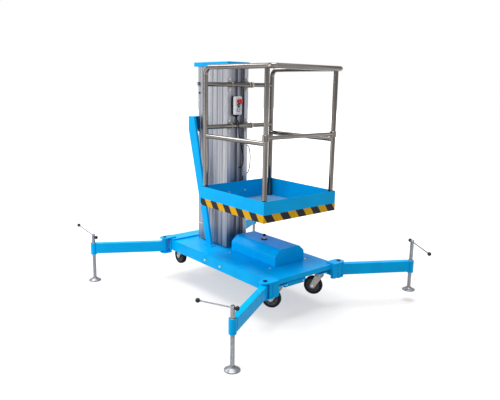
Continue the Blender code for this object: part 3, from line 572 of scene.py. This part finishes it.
def outriggerArm(name, side, end):
    place = moved(side * pinX, end * pinY, 0) @ turned(armTurn(side, end))
    half, length = arm["halfWidth"], arm["length"]
    # the eye ends 0.6 mm under the upper lug
    eyeTop = 0.3697 if end > 0 else 0.3567
    shape = bmesh.new()
    addBox(shape, (0.004, -half, arm["low"]), (length - 0.02, half, arm["high"]), 0.004, 3, place)
    addRod(shape, (0, 0, arm["eyeLow"]), (0, 0, eyeTop), half - 0.0002, 40, 0.0012, place)
    # sleeve with a chamfered mouth at each end
    addTurned(shape, [(0.0156, 0.244), (0.024, 0.243), (0.0258, 0.245), (0.0258, 0.345), (0.024, 0.347),
            (0.0156, 0.347), (0.0156, 0.244)], 48, place @ moved(length, 0, 0))
    # weld beads where the beam meets the sleeve
    for across in (-1, 1):
        addRod(shape, (length - 0.0135, across * 0.0235, arm["low"] + 0.004),
               (length - 0.0135, across * 0.0235, arm["high"] - 0.004), 0.0028, 12, 0.0008, place)
    finishPiece("arm_beam_" + name, shape, [bluePaint], "arm_" + name, ["arm_" + name])

    # threaded bush pressed into the sleeve
    shape = bmesh.new()
    addTurned(shape, [(0.0158, 0.3471), (0.0215, 0.3471), (0.0215, 0.3482), (0.0205, 0.349),
            (0.0158, 0.349), (0.0158, 0.3471)], 36, place @ moved(length, 0, 0))
    finishPiece("sleeve_bush_" + name, shape, [threadSteel], "arm_" + name)


def levellingJack(name, side, end):
    azimuth, tilt, reach, footHeight = handles[name]
    turn, length = math.radians(armTurn(side, end)), arm["length"]
    place = moved(side * pinX + length * math.cos(turn), end * pinY + length * math.sin(turn), footHeight)
    outer, pitch = jack["screwRadius"], jack["pitch"]
    core = outer - jack["threadDepth"]
    low, top = 0.03, jack["screwTop"]
    high = top - 0.008
    shape = bmesh.new()
    # one turn of thread, spun up the whole screw
    thread = [(radius, low + share * pitch) for radius, share in ((core, 0.0), (core, 0.35), (outer, 0.5),
            (outer, 0.85), (core, 1.0))]
    addTurned(shape, thread, jack["stepsPerTurn"], place, turns=int((high - low) / pitch), rise=pitch)
    addRod(shape, (0, 0, 0.024), (0, 0, low + pitch), core, 24, 0, place)
    addTurned(shape, [(0.0, top), (core - 0.002, top), (core, top - 0.002), (core, high - 0.001),
            (0.0, high - 0.001)], 32, place)
    finishPiece("screw_" + name, shape, [threadSteel], "jack_" + name, ["jack_" + name], 30,
            False)

    shape = bmesh.new()
    radius = jack["footRadius"]
    addTurned(shape, [(0.0, 0.028), (0.0175, 0.028), (0.02, 0.0272), (0.0225, 0.025), (0.024, 0.0222),
            (0.03, 0.0186), (0.04, 0.013), (radius - 0.004, 0.0086), (radius - 0.0012, 0.0068),
            (radius, 0.0048), (radius, 0.0008), (radius - 0.001, 0.0), (0.0, 0.0)], 56, place)
    finishPiece("foot_" + name, shape, [footZinc], "jack_" + name)

    bar = place @ moved(0, 0, jack["handleZ"]) @ (turned(azimuth) @ turned(-tilt, "Y"))
    near = reach - jack["handleLength"]
    shape = bmesh.new()
    addRod(shape, (near, 0, 0), (reach, 0, 0), jack["handleRadius"], 20, 0, bar)
    finishPiece("handle_bar_" + name, shape, [barSteel], "jack_" + name)

    shape = bmesh.new()
    for spot, inward in ((near, 1), (reach, -1)):
        addBall(shape, (spot, 0, 0), jack["knobRadius"], 14, bar)
        # the knob's neck
        addRod(shape, (spot + inward * 0.0125, 0, 0), (spot + inward * 0.0185, 0, 0), 0.0075, 24, 0.0008,
               bar)
    finishPiece("handle_knobs_" + name, shape, [blackPlastic], "jack_" + name)


for cornerName, (side, end) in corners.items():
    outriggerArm(cornerName, side, end)
    levellingJack(cornerName, side, end)
print("outriggers done")


# casters

caster = {"trail": 0.045, "axleZ": 0.18, "wheelRadius": 0.0748, "halfWidth": 0.02, "hubRadius": 0.052,
        "legInner": 0.0242, "legThick": 0.0036, "bossRadius": 0.0218, "spokes": 8, "plateZ": 0.2889}
# x, y and turn in degrees
casterSpots = {
    "front_left": (-0.225, -0.639, -60), "rear_left": (-0.225, 0.64, -90),
    "front_right": (0.225, -0.639, -60), "rear_right": (0.225, 0.64, -90),
}


def swivelCaster(name, x, y, turn):
    place = moved(x, y, 0) @ turned(turn)
    axleX, axleZ, inner = -caster["trail"], caster["axleZ"], caster["legInner"]
    outer = inner + caster["legThick"]
    axle = place @ moved(axleX, 0, axleZ)
    shape = bmesh.new()
    # ball race of the swivel
    addTurned(shape, [(0.0, 0.2887), (0.036, 0.2887), (0.036, 0.282), (0.0335, 0.28), (0.0335, 0.275),
            (0.036, 0.273), (0.036, 0.267), (0.032, 0.264), (0.0, 0.264)], 48, place)
    addBox(shape, (-0.034, -0.0278, 0.2602), (0.034, 0.0278, 0.2642), 0.0014, 2, place)
    for across in (-1, 1):
        # each leg is a skin round its boss and its root
        low, high = sorted((across * inner, across * outer))
        leg = startBox((-0.0275, low, 0.256), (0.0275, high, 0.264))
        boss = aimed((axleX, low, axleZ), (axleX, high, axleZ))
        bmesh.ops.create_cone(leg, cap_ends=True, segments=28, radius1=caster["bossRadius"],
                radius2=caster["bossRadius"], depth=high - low, matrix=boss)
        bmesh.ops.delete(leg, geom=leg.faces[:], context="FACES_ONLY")
        bmesh.ops.delete(leg, geom=leg.edges[:], context="EDGES_FACES")
        hull = bmesh.ops.convex_hull(leg, input=leg.verts[:])
        bmesh.ops.delete(leg, geom=vertsIn(hull["geom_interior"]), context="VERTS")
        bmesh.ops.dissolve_limit(leg, angle_limit=0.01, verts=leg.verts[:], edges=leg.edges[:])
        pour(leg, shape, place)
    # rivet of the swivel under the crown
    addRod(shape, (0, 0, 0.2598), (0, 0, 0.2572), 0.01, 28, 0.0008, place)
    finishPiece("fork_plates_" + name, shape, [dullZinc], "fork_" + name,
            ["caster_%s_fork" % name])

    shape = bmesh.new()
    for across in (-1, 1):
        spot = place @ Vector((axleX, across * outer, axleZ))
        addHex(shape, spot, place.to_3x3() @ Vector((0, across, 0)), 0.0165, 0.004)
    addRod(shape, (0, -0.0322, 0), (0, 0.0322, 0), 0.005, 20, 0.0006, axle)
    finishPiece("axle_bolt_" + name, shape, [zincPlate], "fork_" + name)

    standing = axle @ turned(90, "X")
    wheel, half, hub = caster["wheelRadius"], caster["halfWidth"], caster["hubRadius"]
    shape = bmesh.new()
    addTurned(shape, mirrored([(hub, -half * 0.8), (hub + 0.003, -half), (wheel - 0.007, -half),
            (wheel - 0.003, -half * 0.9), (wheel - 0.0006, -half * 0.62), (wheel, -half * 0.3)]), 64,
            standing)
    finishPiece("tyre_" + name, shape, [tyreRubber], "wheel_" + name,
            ["caster_%s_wheel" % name])
    shape = bmesh.new()
    addTurned(shape, mirrored([(0.0064, -0.0228), (0.016, -0.0228), (0.0175, -0.0215), (0.019, -0.011),
            (0.042, -0.0095), (0.0455, -0.016), (hub, -0.0165)]), 56, standing)
    # ribs between the hub's boss and rim, on both sides
    for number in range(caster["spokes"]):
        spoke = standing @ turned(360 / caster["spokes"] * number)
        addBox(shape, (0.017, -0.0016, -0.0148), (0.044, 0.0016, 0.0148), 0.0005, 1, spoke)
    finishPiece("hub_" + name, shape, [hubPlastic], "wheel_" + name)

    # bolts of the mounting plate
    shape = bmesh.new()
    for alongX in (-0.04, 0.04):
        for alongY in (-0.036, 0.036):
            addHex(shape, (x + alongX, y + alongY, caster["plateZ"]), (0, 0, -1), 0.01, 0.0045)
    finishPiece("plate_bolts_" + name, shape, [zincPlate], "base")


for cornerName, (x, y, turn) in casterSpots.items():
    swivelCaster(cornerName, x, y, turn)
print("casters done")


# power unit

coverLow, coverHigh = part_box("power_unit_cover")
cover = {"chamferX": 0.055, "chamferZ": 0.048, "bend": 0.012, "knobX": 0.04, "knobY": -0.18}


def powerCover():
    hood = startBox(coverLow, coverHigh)
    for across, x in ((-1, coverLow.x), (1, coverHigh.x)):
        normal = Vector((across * cover["chamferZ"], 0, cover["chamferX"])).normalized()
        cut = cutThrough(hood, (x, 0, coverHigh.z - cover["chamferZ"]), normal, True)
        rim = [item for item in cut if isinstance(item, bmesh.types.BMEdge)]
        bmesh.ops.contextual_create(hood, geom=rim)
    bends = [line for line in hood.edges if abs(line.verts[0].co.y - line.verts[1].co.y) > 0.1
             and line.verts[0].co.z > coverLow.z + 0.01]
    roundEdges(hood, bends, cover["bend"], 6)
    roundEdges(hood, sharpEdges(hood), 0.0025, 3)
    shape = bmesh.new()
    pour(hood, shape)
    finishPiece("power_unit_hood", shape, [bluePaint], "base", ["power_unit_cover"])


def loweringKnob():
    spot = moved(cover["knobX"], cover["knobY"], coverHigh.z + 0.0003)
    shape = bmesh.new()
    addTurned(shape, [(0.0, 0.005), (0.025, 0.005), (0.0272, 0.004), (0.028, 0.0024), (0.028, 0.0),
            (0.0, 0.0)], 48, spot)
    addTurned(shape, [(0.0, 0.046), (0.006, 0.0456), (0.011, 0.044), (0.0142, 0.0405), (0.015, 0.037),
            (0.015, 0.0335), (0.0135, 0.03), (0.0085, 0.0262), (0.0062, 0.024), (0.0, 0.024)], 40, spot)
    finishPiece("lowering_knob_ball", shape, [blackShell], "base", ["lowering_knob"])
    shape = bmesh.new()
    addRod(shape, (0, 0, 0.0045), (0, 0, 0.0245), 0.004, 24, 0, spot)
    addHex(shape, spot @ Vector((0, 0, 0.005)), (0, 0, 1), 0.013, 0.003)
    finishPiece("lowering_knob_stem", shape, [zincPlate], "base")


powerCover()
loweringKnob()
print("power unit done")


# mast details

mastFront = 0.142
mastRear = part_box("mast_section_1")[1].y
mastHalf = 0.1085
# y and z of what sits on the mast's left edge, low and high of its strap
leftEdge = {"rollerY": 0.549, "rollerZ": 1.742, "boltY": 0.538, "boltZ": (1.6025, 1.4666), "stopZ": 1.664,
        "strapLow": 0.503, "strapHigh": 0.509}


def mastFittings():
    shape = bmesh.new()
    # bolts of the brace's foot plates
    for side in (-1, 1):
        for y in (0.258, 0.342):
            addHex(shape, (side * 0.164, y, deckTop + 0.0063), (0, 0, 1), 0.013, 0.0055, 0.009)
    finishPiece("brace_bolts", shape, [zincPlate], "base")

    # small fittings on the left edge of the fixed profile: a roller on its plate and two bolts
    left, y, z = -mastHalf - 0.0001, leftEdge["rollerY"], leftEdge["rollerZ"]
    shape = bmesh.new()
    addBox(shape, (left - 0.003, 0.53, 1.718), (left, 0.561, 1.756), 0.0008, mark=1)
    addRod(shape, (left - 0.003, y, z), (left - 0.014, y, z), 0.0125, 32, 0.0014, mark=1)
    addRod(shape, (left - 0.014, y, z), (left - 0.016, y, z), 0.0045, 20, 0.0004)
    for z in leftEdge["boltZ"]:
        addHex(shape, (left, leftEdge["boltY"], z), (-1, 0, 0), 0.01, 0.0042, 0.0072)
    finishPiece("edge_roller_and_bolts", shape, [zincPlate, barSteel], "base")
    # a round stop and a clip
    shape = bmesh.new()
    y, z = leftEdge["boltY"], leftEdge["stopZ"]
    addRod(shape, (left, y, z), (left - 0.0085, y, z), 0.0085, 28, 0.0012)
    addBox(shape, (left - 0.006, 0.546, 1.332), (left, 0.561, 1.351), 0.0012)
    finishPiece("edge_stop_and_clip", shape, [blackShell], "base")
    # nylon strap round the foot of the profile, with its buckle
    shape = bmesh.new()
    low, high, back = leftEdge["strapLow"], leftEdge["strapHigh"], mastRear + 0.0017
    addBox(shape, (left - 0.0016, 0.493, low), (left, back, high), 0.0004, 1)
    addBox(shape, (left - 0.0016, mastRear + 0.0001, low), (-0.06, back, high), 0.0004, 1)
    addBox(shape, (left - 0.005, 0.504, low - 0.0015), (left - 0.0012, 0.511, high + 0.0015), 0.0006)
    finishPiece("mast_strap", shape, [whiteNylon], "base")


mastFittings()
print("mast done")


# platform

trayLow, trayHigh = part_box("platform_tray")
tape = {"low": 0.777, "high": 0.834, "thick": 0.0006, "pitch": 0.1592, "slant": 0.04, "phase": 0.074}


def hazardTape():
    # a strip on each side of the tray, cut into slanting stripes that run on round the corners
    shape = bmesh.new()
    low, high, phase, stripe = tape["low"], tape["high"], tape["phase"], tape["pitch"] / 2
    middleZ, slope = (low + high) / 2, tape["slant"] / (high - low)
    sideLength, frontLength = trayHigh.y - trayLow.y, trayHigh.x - trayLow.x
    # start corner, direction, outward normal, length, distance wound before it
    runs = (
        (Vector((trayLow.x, trayHigh.y, 0)), Vector((0, -1, 0)), Vector((-1, 0, 0)), sideLength, 0.0),
        (Vector((trayLow.x, trayLow.y, 0)), Vector((1, 0, 0)), Vector((0, -1, 0)), frontLength, sideLength),
        (Vector((trayHigh.x, trayLow.y, 0)), Vector((0, 1, 0)), Vector((1, 0, 0)), sideLength,
         sideLength + frontLength),
    )
    for start, along, outward, length, wound in runs:
        finish = start + along * length
        near, far = start + outward * 0.0001, finish + outward * (tape["thick"] + 0.0001)
        strip = startBox((min(near.x, far.x), min(near.y, far.y), low),
                (max(near.x, far.x), max(near.y, far.y), high))
        normal = (along + Vector((0, 0, slope))).normalized()
        first = math.ceil((wound - 0.1 - phase) / stripe)
        last = math.floor((wound + length + 0.1 - phase) / stripe)
        for number in range(first, last + 1):
            spot = start + along * (phase + number * stripe - wound)
            cutThrough(strip, (spot.x, spot.y, middleZ), normal)
        marks = []
        for face in strip.faces:
            middle = face.calc_center_median()
            travel = (middle - start).dot(along) + (middle.z - middleZ) * slope + wound - phase
            marks.append(math.floor(travel / stripe) % 2)
        pour(strip, shape, None, marks)
    finishPiece("hazard_tape", shape, [tapeYellow, tapeBlack], "platform", (), 30, False)


rail = {"radius": 0.019, "sideRadius": 0.018, "topZ": 1.866, "midZ": 1.337, "postX": 0.347,
        "postFront": -0.607, "postRear": 0.112, "frontY": -0.672, "rearBend": 0.06, "frontBend": 0.045,
        "upperZ": 1.738, "lowerZ": 1.405, "clampX": 0.092, "clampReach": 0.0425, "collarX": 0.122,
        "gateZ": 1.3773, "gateRadius": 0.015}
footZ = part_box("guard_rail")[0].z


def guardRail():
    x, z, front, rear = rail["postX"], rail["topZ"], rail["frontY"], rail["postRear"]
    route = [(-x, rear, footZ), (-x, rear, z), (-x, front, z), (x, front, z), (x, rear, z), (x, rear, footZ)]
    bends = [rail["rearBend"], rail["frontBend"], rail["frontBend"], rail["rearBend"]]
    shape = bmesh.new()
    addTube(shape, route, bends, rail["radius"], 32, 12, mark="run")
    finishPiece("guard_rail_tube", shape, tubeSteelLitAndShaded, "platform", ["guard_rail"])

    postY, midZ, radius = rail["postFront"], rail["midZ"], rail["sideRadius"]
    for postX, word in ((-x, "left"), (x, "right")):
        shape = bmesh.new()
        addRod(shape, (postX, postY, footZ), (postX, postY, z - 0.008), radius, 32, 0, mark="run")
        addRod(shape, (postX, postY, midZ), (postX, rear, midZ), radius, 32, 0, mark="run")
        finishPiece("front_post_and_rail_" + word, shape, tubeSteelLitAndShaded, "platform",
                ["post_front_" + word, "mid_rail_" + word])


def clampedRails():
    x, y, radius = rail["postX"], rail["postRear"], rail["sideRadius"]
    # distance of the strap from the middle of its tube, and of its bolts
    wrap, reach = radius + 0.0025, rail["clampReach"]
    for word in ("upper", "lower"):
        z = rail[word + "Z"]
        shape = bmesh.new()
        addRod(shape, (-x, y, z), (x, y, z), radius, 32, 0, mark="run")
        finishPiece("rear_rail_tube_" + word, shape, tubeSteelLitAndShaded, "platform",
                ["rear_rail_" + word])
        shape = bmesh.new()
        for clampX in (-rail["clampX"], rail["clampX"]):
            addBox(shape, (clampX - 0.012, 0.1367, z - 0.052), (clampX + 0.012, 0.1417, z + 0.052), 0.0008)
            addBox(shape, (clampX - 0.0095, 0.115, z - 0.016), (clampX + 0.0095, 0.1375, z + 0.016), 0.0008)
            # strap over the tube, down to the plate above and below it
            addTube(shape, [(clampX, 0.1362, z + wrap), (clampX, y - wrap, z + wrap),
                    (clampX, y - wrap, z - wrap), (clampX, 0.1362, z - wrap)],
                    [wrap - 0.0002, wrap - 0.0002], 0.0025, 10, 8)
            for boltZ in (z - reach, z + reach):
                addHex(shape, (clampX, 0.1367, boltZ), (0, -1, 0), 0.01, 0.005, 0.0075, 1)
                addRod(shape, (clampX, 0.13, boltZ), (clampX, 0.128, boltZ), 0.003, 12, 0, mark=1)
        # clamping collar beside the right bracket
        addTurned(shape, mirrored([(radius + 0.0003, -0.01), (0.0225, -0.01), (0.024, -0.0085)]), 36,
                moved(rail["collarX"], y, z) @ turned(90, "Y"))
        finishPiece("rail_clamps_" + word, shape, [dullZinc, zincPlate], "platform")


def slidingGate():
    x, y, z = rail["postX"], rail["postFront"], rail["gateZ"]
    shape = bmesh.new()
    addRod(shape, (-x + 0.02, y, z), (x - 0.02, y, z), rail["gateRadius"], 32, 0, mark="run")
    for sleeveX in (-x, x):
        addTurned(shape, mirrored([(0.019, -0.022), (0.0236, -0.022), (0.025, -0.0206)]), 40,
                moved(sleeveX, y, z), mark="run")
    finishPiece("gate_tube", shape, tubeSteelLitAndShaded, "gate", ["gate_bar"])


chain = {"x": 0.056, "standOff": 0.0065, "top": 1.094, "wire": 0.0013, "linkRadius": 0.0062, "links": 12}


def trayBolts():
    shape = bmesh.new()
    for x in (-0.086, 0.086):
        addHex(shape, (x, trayHigh.y - 0.003, 0.849), (0, -1, 0), **frameBolt)
    finishPiece("tray_bolts", shape, [zincPlate], "platform")


def hangingChain():
    # a short link chain that hangs from a screw on the front of the moving profile
    shape = bmesh.new()
    x, y, top = chain["x"], mastFront - chain["standOff"], chain["top"]
    wire, ringRadius = chain["wire"], chain["linkRadius"]
    profile = [(ringRadius + wire * math.cos(math.pi * step / 4),
            wire * math.sin(math.pi * step / 4)) for step in range(9)]
    pitch = 2 * (ringRadius - wire)
    flat = turned(90, "X")
    for number in range(chain["links"]):
        # every other link stands crosswise
        place = moved(x, y, top - ringRadius + wire - number * pitch)
        addTurned(shape, profile, 20, place @ (turned(90 * (number % 2)) @ flat))
    addRod(shape, (x, mastFront - 0.0001, top), (x, y - 0.0035, top), 0.0022, 14, 0)
    addRod(shape, (x, y - 0.0035, top), (x, y - 0.0065, top), 0.005, 20, 0.0006)
    finishPiece("hanging_chain", shape, [zincPlate], "platform")


hazardTape()
guardRail()
clampedRails()
slidingGate()
trayBolts()
hangingChain()
print("platform done")


# control box

boxLow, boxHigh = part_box("control_box")
glandY = boxHigh.y - 0.012
control = {"centreX": -0.027, "halfWidth": 0.035, "joinY": 0.1297, "low": boxLow.z, "high": boxHigh.z,
        "glandHeight": 0.022, "stopZ": 1.605, "upZ": 1.5735, "downZ": 1.5375, "screwX": 0.027}


def controlBox():
    x, y, half = control["centreX"], boxLow.y, control["halfWidth"]
    low, high, join = control["low"] + control["glandHeight"], control["high"], control["joinY"]
    shape = bmesh.new()
    addBox(shape, (x - half, join, low), (x + half, boxHigh.y, high), 0.002, 3)
    # ribbed gland under the box
    gland = moved(x, glandY, 0)
    addTurned(shape, [(0.0, low - 0.012), (0.009, low - 0.012), (0.009, low - 0.016),
            (0.0078, low - 0.0166), (0.0088, low - 0.0176), (0.0084, low - 0.02), (0.006, low - 0.022),
            (0.0, low - 0.022)], 32, gland)
    addBox(shape, (x - 0.03, 0.112, low - 0.015), (x + 0.014, boxHigh.y - 0.0004, low + 0.001), 0.004, 3)
    finishPiece("control_box_shell", shape, [blackShell], "platform", ["control_box"])
    shape = bmesh.new()
    addBox(shape, (x - half, y, low), (x + half, join - 0.0006, high), 0.006, 4)
    finishPiece("control_panel", shape, [greyShell], "platform")

    facing = turned(90, "X")
    shape = bmesh.new()
    stop = moved(x, y - 0.0003, control["stopZ"]) @ facing
    addTurned(shape, [(0.0, 0.03), (0.008, 0.0296), (0.0145, 0.0283), (0.0188, 0.0258), (0.02, 0.0225),
            (0.02, 0.018), (0.0186, 0.0162), (0.011, 0.0135), (0.011, 0.006), (0.0, 0.006)], 48, stop)
    finishPiece("stop_button_cap", shape, [redPlastic], "platform", ["stop_button"])
    shape = bmesh.new()
    addTurned(shape, [(0.0, 0.0064), (0.0155, 0.0064), (0.017, 0.005), (0.017, 0.0), (0.0, 0.0)], 40,
            stop)
    # up and down buttons: a dark one over a pale one, each with a dot in its middle
    upper, lower = (moved(x, y - 0.0002, control[word]) @ facing for word in ("upZ", "downZ"))
    collar = [(0.01, 0.0), (0.015, 0.0), (0.0156, 0.0012), (0.0146, 0.0042), (0.0104, 0.0046),
            (0.01, 0.0)]
    cap = [(0.0, 0.005), (0.0086, 0.005), (0.0094, 0.0042), (0.0099, 0.0), (0.0, 0.0)]
    dot = [(0.0, 0.0056), (0.0044, 0.0055), (0.0048, 0.005), (0.0, 0.005)]
    addTurned(shape, collar, 36, upper)
    addTurned(shape, cap, 32, upper)
    addTurned(shape, dot, 20, lower)
    addTurned(shape, [(0.0157, 0.0), (0.0186, 0.0), (0.0182, 0.002), (0.0157, 0.0026), (0.0157, 0.0)], 36,
            lower)
    finishPiece("button_sockets", shape, [blackPlastic], "platform")
    shape = bmesh.new()
    addTurned(shape, collar, 36, lower)
    addTurned(shape, cap, 32, lower)
    addTurned(shape, dot, 20, upper)
    finishPiece("down_button", shape, [whiteNylon], "platform")
    shape = bmesh.new()
    # screws in the panel's corners
    for across in (-control["screwX"], control["screwX"]):
        for z in (low + 0.008, high - 0.008):
            addScrewHead(shape, (x + across, y - 0.0001, z), (0, -1, 0), 0.0032, 0.0016)
    finishPiece("button_rings", shape, [zincPlate], "platform")


controlBox()
print("control box done")


# cables

def smoothRoute(points, count):
    # a curve through the route's own points
    route = [Vector(point) for point in points]
    route = [2 * route[0] - route[1]] + route + [2 * route[-1] - route[-2]]
    spans = len(route) - 3
    smooth = []
    for number in range(count):
        position = number / (count - 1) * spans
        span = min(int(position), spans - 1)
        t = position - span
        a, b, c, d = route[span:span + 4]
        smooth.append(0.5 * (2 * b + (c - a) * t + (2 * a - 5 * b + 4 * c - d) * t ** 2
                             + (3 * b - a - 3 * c + d) * t ** 3))
    return smooth


def freeCable(name, start, route, end, nodeName, count):
    points = [Vector(start)] + smoothRoute(route, count) + [Vector(end)]
    curve = bpy.data.curves.new(name, "CURVE")
    curve.dimensions = "3D"
    curve.bevel_depth = 0.004
    curve.bevel_resolution = 6
    curve.use_fill_caps = True
    spline = curve.splines.new("POLY")
    spline.points.add(len(points) - 1)
    for point, spot in zip(spline.points, points):
        point.co = (*spot, 1.0)
    spline.use_smooth = True
    curve.materials.append(cableSkin)
    cable = addObject(name, curve)
    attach(cable, "platform")
    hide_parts(nodeName)


boxX = control["centreX"]
cableTop = control["low"] - 0.0003
cableEnd = (0.046, 0.1717, 1.045)
freeCable("control_cable_cord", (boxX, glandY, cableTop),
          [(boxX, glandY, cableTop - 0.01), (boxX - 0.004, 0.098, 1.44), (boxX - 0.007, 0.083, 1.402),
           (-0.024, 0.092, 1.34), (0.01, 0.104, 1.24), (0.038, 0.108, 1.15), (0.046, 0.122, 1.082),
           (0.046, 0.146, 1.05), (0.046, cableEnd[1] - 0.01, cableEnd[2])],
          cableEnd, "control_cable", 60)
freeCable("side_cable_cord", (0.1088, 0.162, 1.235),
          [(0.1188, 0.162, 1.235), (0.142, 0.162, 1.215), (0.155, 0.162, 1.165), (0.158, 0.162, 1.11),
           (0.154, 0.162, 1.05), (0.14, 0.162, 1.004), (0.1188, 0.162, 0.985)],
          (0.1088, 0.162, 0.985), "side_cable", 44)
print("cables done")


# floor, light and camera

def lightPathShare(tree):
    # 1 for what the camera sees, straight or in metal and glass
    path = tree.nodes.new("ShaderNodeLightPath").outputs
    seen = addMath(tree, "MAXIMUM", path["Is Camera Ray"], path["Is Glossy Ray"])
    return addMath(tree, "MAXIMUM", seen, path["Is Transmission Ray"])


studio = {"floorSize": 60.0, "nearGlow": 0.48, "farGlow": 1.0, "nearEdge": 1.6, "farEdge": 4.5,
        "worldLight": 0.56}
photoCamera = {"place": (-2.831, -3.413, 1.73), "degrees": (-39.966, 11.916, 0.982), "lens": 38.936,
        "sensor": 36.0, "reach": 100.0}


def studioFloor():
    shape = bmesh.new()
    bmesh.ops.create_grid(shape, x_segments=1, y_segments=1, size=studio["floorSize"] / 2)
    mesh = bpy.data.meshes.new("studio_floor")
    shape.to_mesh(mesh)
    shape.free()
    floor = addObject("studio_floor", mesh)
    # painted studio floor that shows white and keeps the shadow
    material, tree, shader, coordinates = startMaterial("white studio paint", {"Roughness": 0.9})
    tone = addNoise(tree, coordinates, 900, 2.0)
    plug(mixColours(tree, tone, "#B6B4B2", "#B2B0AE"), shader, "Base Color")
    shader.inputs["Emission Color"].default_value = linearFromHex("#FFFFFF")
    distance = addNode(tree, "ShaderNodeVectorMath", {"operation": "LENGTH"}, {0: coordinates})
    level = spread(tree, distance.outputs["Value"], studio["nearGlow"], studio["farGlow"],
            studio["nearEdge"], studio["farEdge"])
    plug(addMath(tree, "MULTIPLY", lightPathShare(tree), level), shader, "Emission Strength")
    mesh.materials.append(material)


def studioWorld():
    world = bpy.data.worlds.new("white room")
    world.use_nodes = True
    tree = world.node_tree
    background = tree.nodes["Background"]
    background.inputs["Color"].default_value = linearFromHex("#FFFFFF")
    strength = addNode(tree, "ShaderNodeMix", {2: studio["worldLight"], 3: 1.0}, {0: lightPathShare(tree)})
    plug(strength.outputs[0], background, "Strength")
    bpy.context.scene.world = world


def areaLamp(name, spot, target, width, height, power):
    light = bpy.data.lights.new(name, "AREA")
    light.shape = "RECTANGLE"
    light.size = width
    light.size_y = height
    light.energy = power
    lamp = addObject(name, light)
    lamp.matrix_world = moved(*spot) @ pointed(Vector(target) - Vector(spot), "-Z")
    lamp.visible_camera = False


def ceilingLight(tilt, spreadAngle, strength):
    # even light from above at every height, so that the raised platform is lit like the lowered one
    light = bpy.data.lights.new("ceiling", "SUN")
    light.angle = math.radians(spreadAngle)
    light.energy = strength
    lamp = addObject("ceiling", light)
    lamp.matrix_world = moved(0, 0, 9.5) @ turned(tilt, "X")


def productCamera():
    # the photo's camera, turned by azimuth, elevation and roll
    azimuth, elevation, roll = map(math.radians, photoCamera["degrees"])
    back = Vector((math.sin(azimuth) * math.cos(elevation), -math.cos(azimuth) * math.cos(elevation),
            math.sin(elevation)))
    right = (-back).cross(Vector((0, 0, 1))).normalized()
    up = right.cross(-back)
    turnedRight = right * math.cos(roll) + up * math.sin(roll)
    turnedUp = up * math.cos(roll) - right * math.sin(roll)
    data = bpy.data.cameras.new("photo_camera")
    data.lens = photoCamera["lens"]
    data.sensor_width = photoCamera["sensor"]
    data.clip_end = photoCamera["reach"]
    camera = addObject("photo_camera", data)
    turn = Matrix((turnedRight, turnedUp, back)).transposed().to_4x4()
    camera.matrix_world = moved(*photoCamera["place"]) @ turn
    bpy.context.scene.camera = camera


studioFloor()
studioWorld()
areaLamp("key_left", (-5.0, 0.4, 3.4), (0, 0, 0.9), 2.2, 2.2, 86)
ceilingLight(-5, 34, 2.3)
areaLamp("rear_rim", (-1.6, 3.6, 4.3), (0, 0, 1.2), 1.4, 1.4, 60)
areaLamp("low_strip", (-3.7, 0.9, 1.15), (0, 0, 1.15), 0.45, 2.1, 22)
productCamera()
bpy.context.scene.view_settings.view_transform = "Standard"
print("stage set")
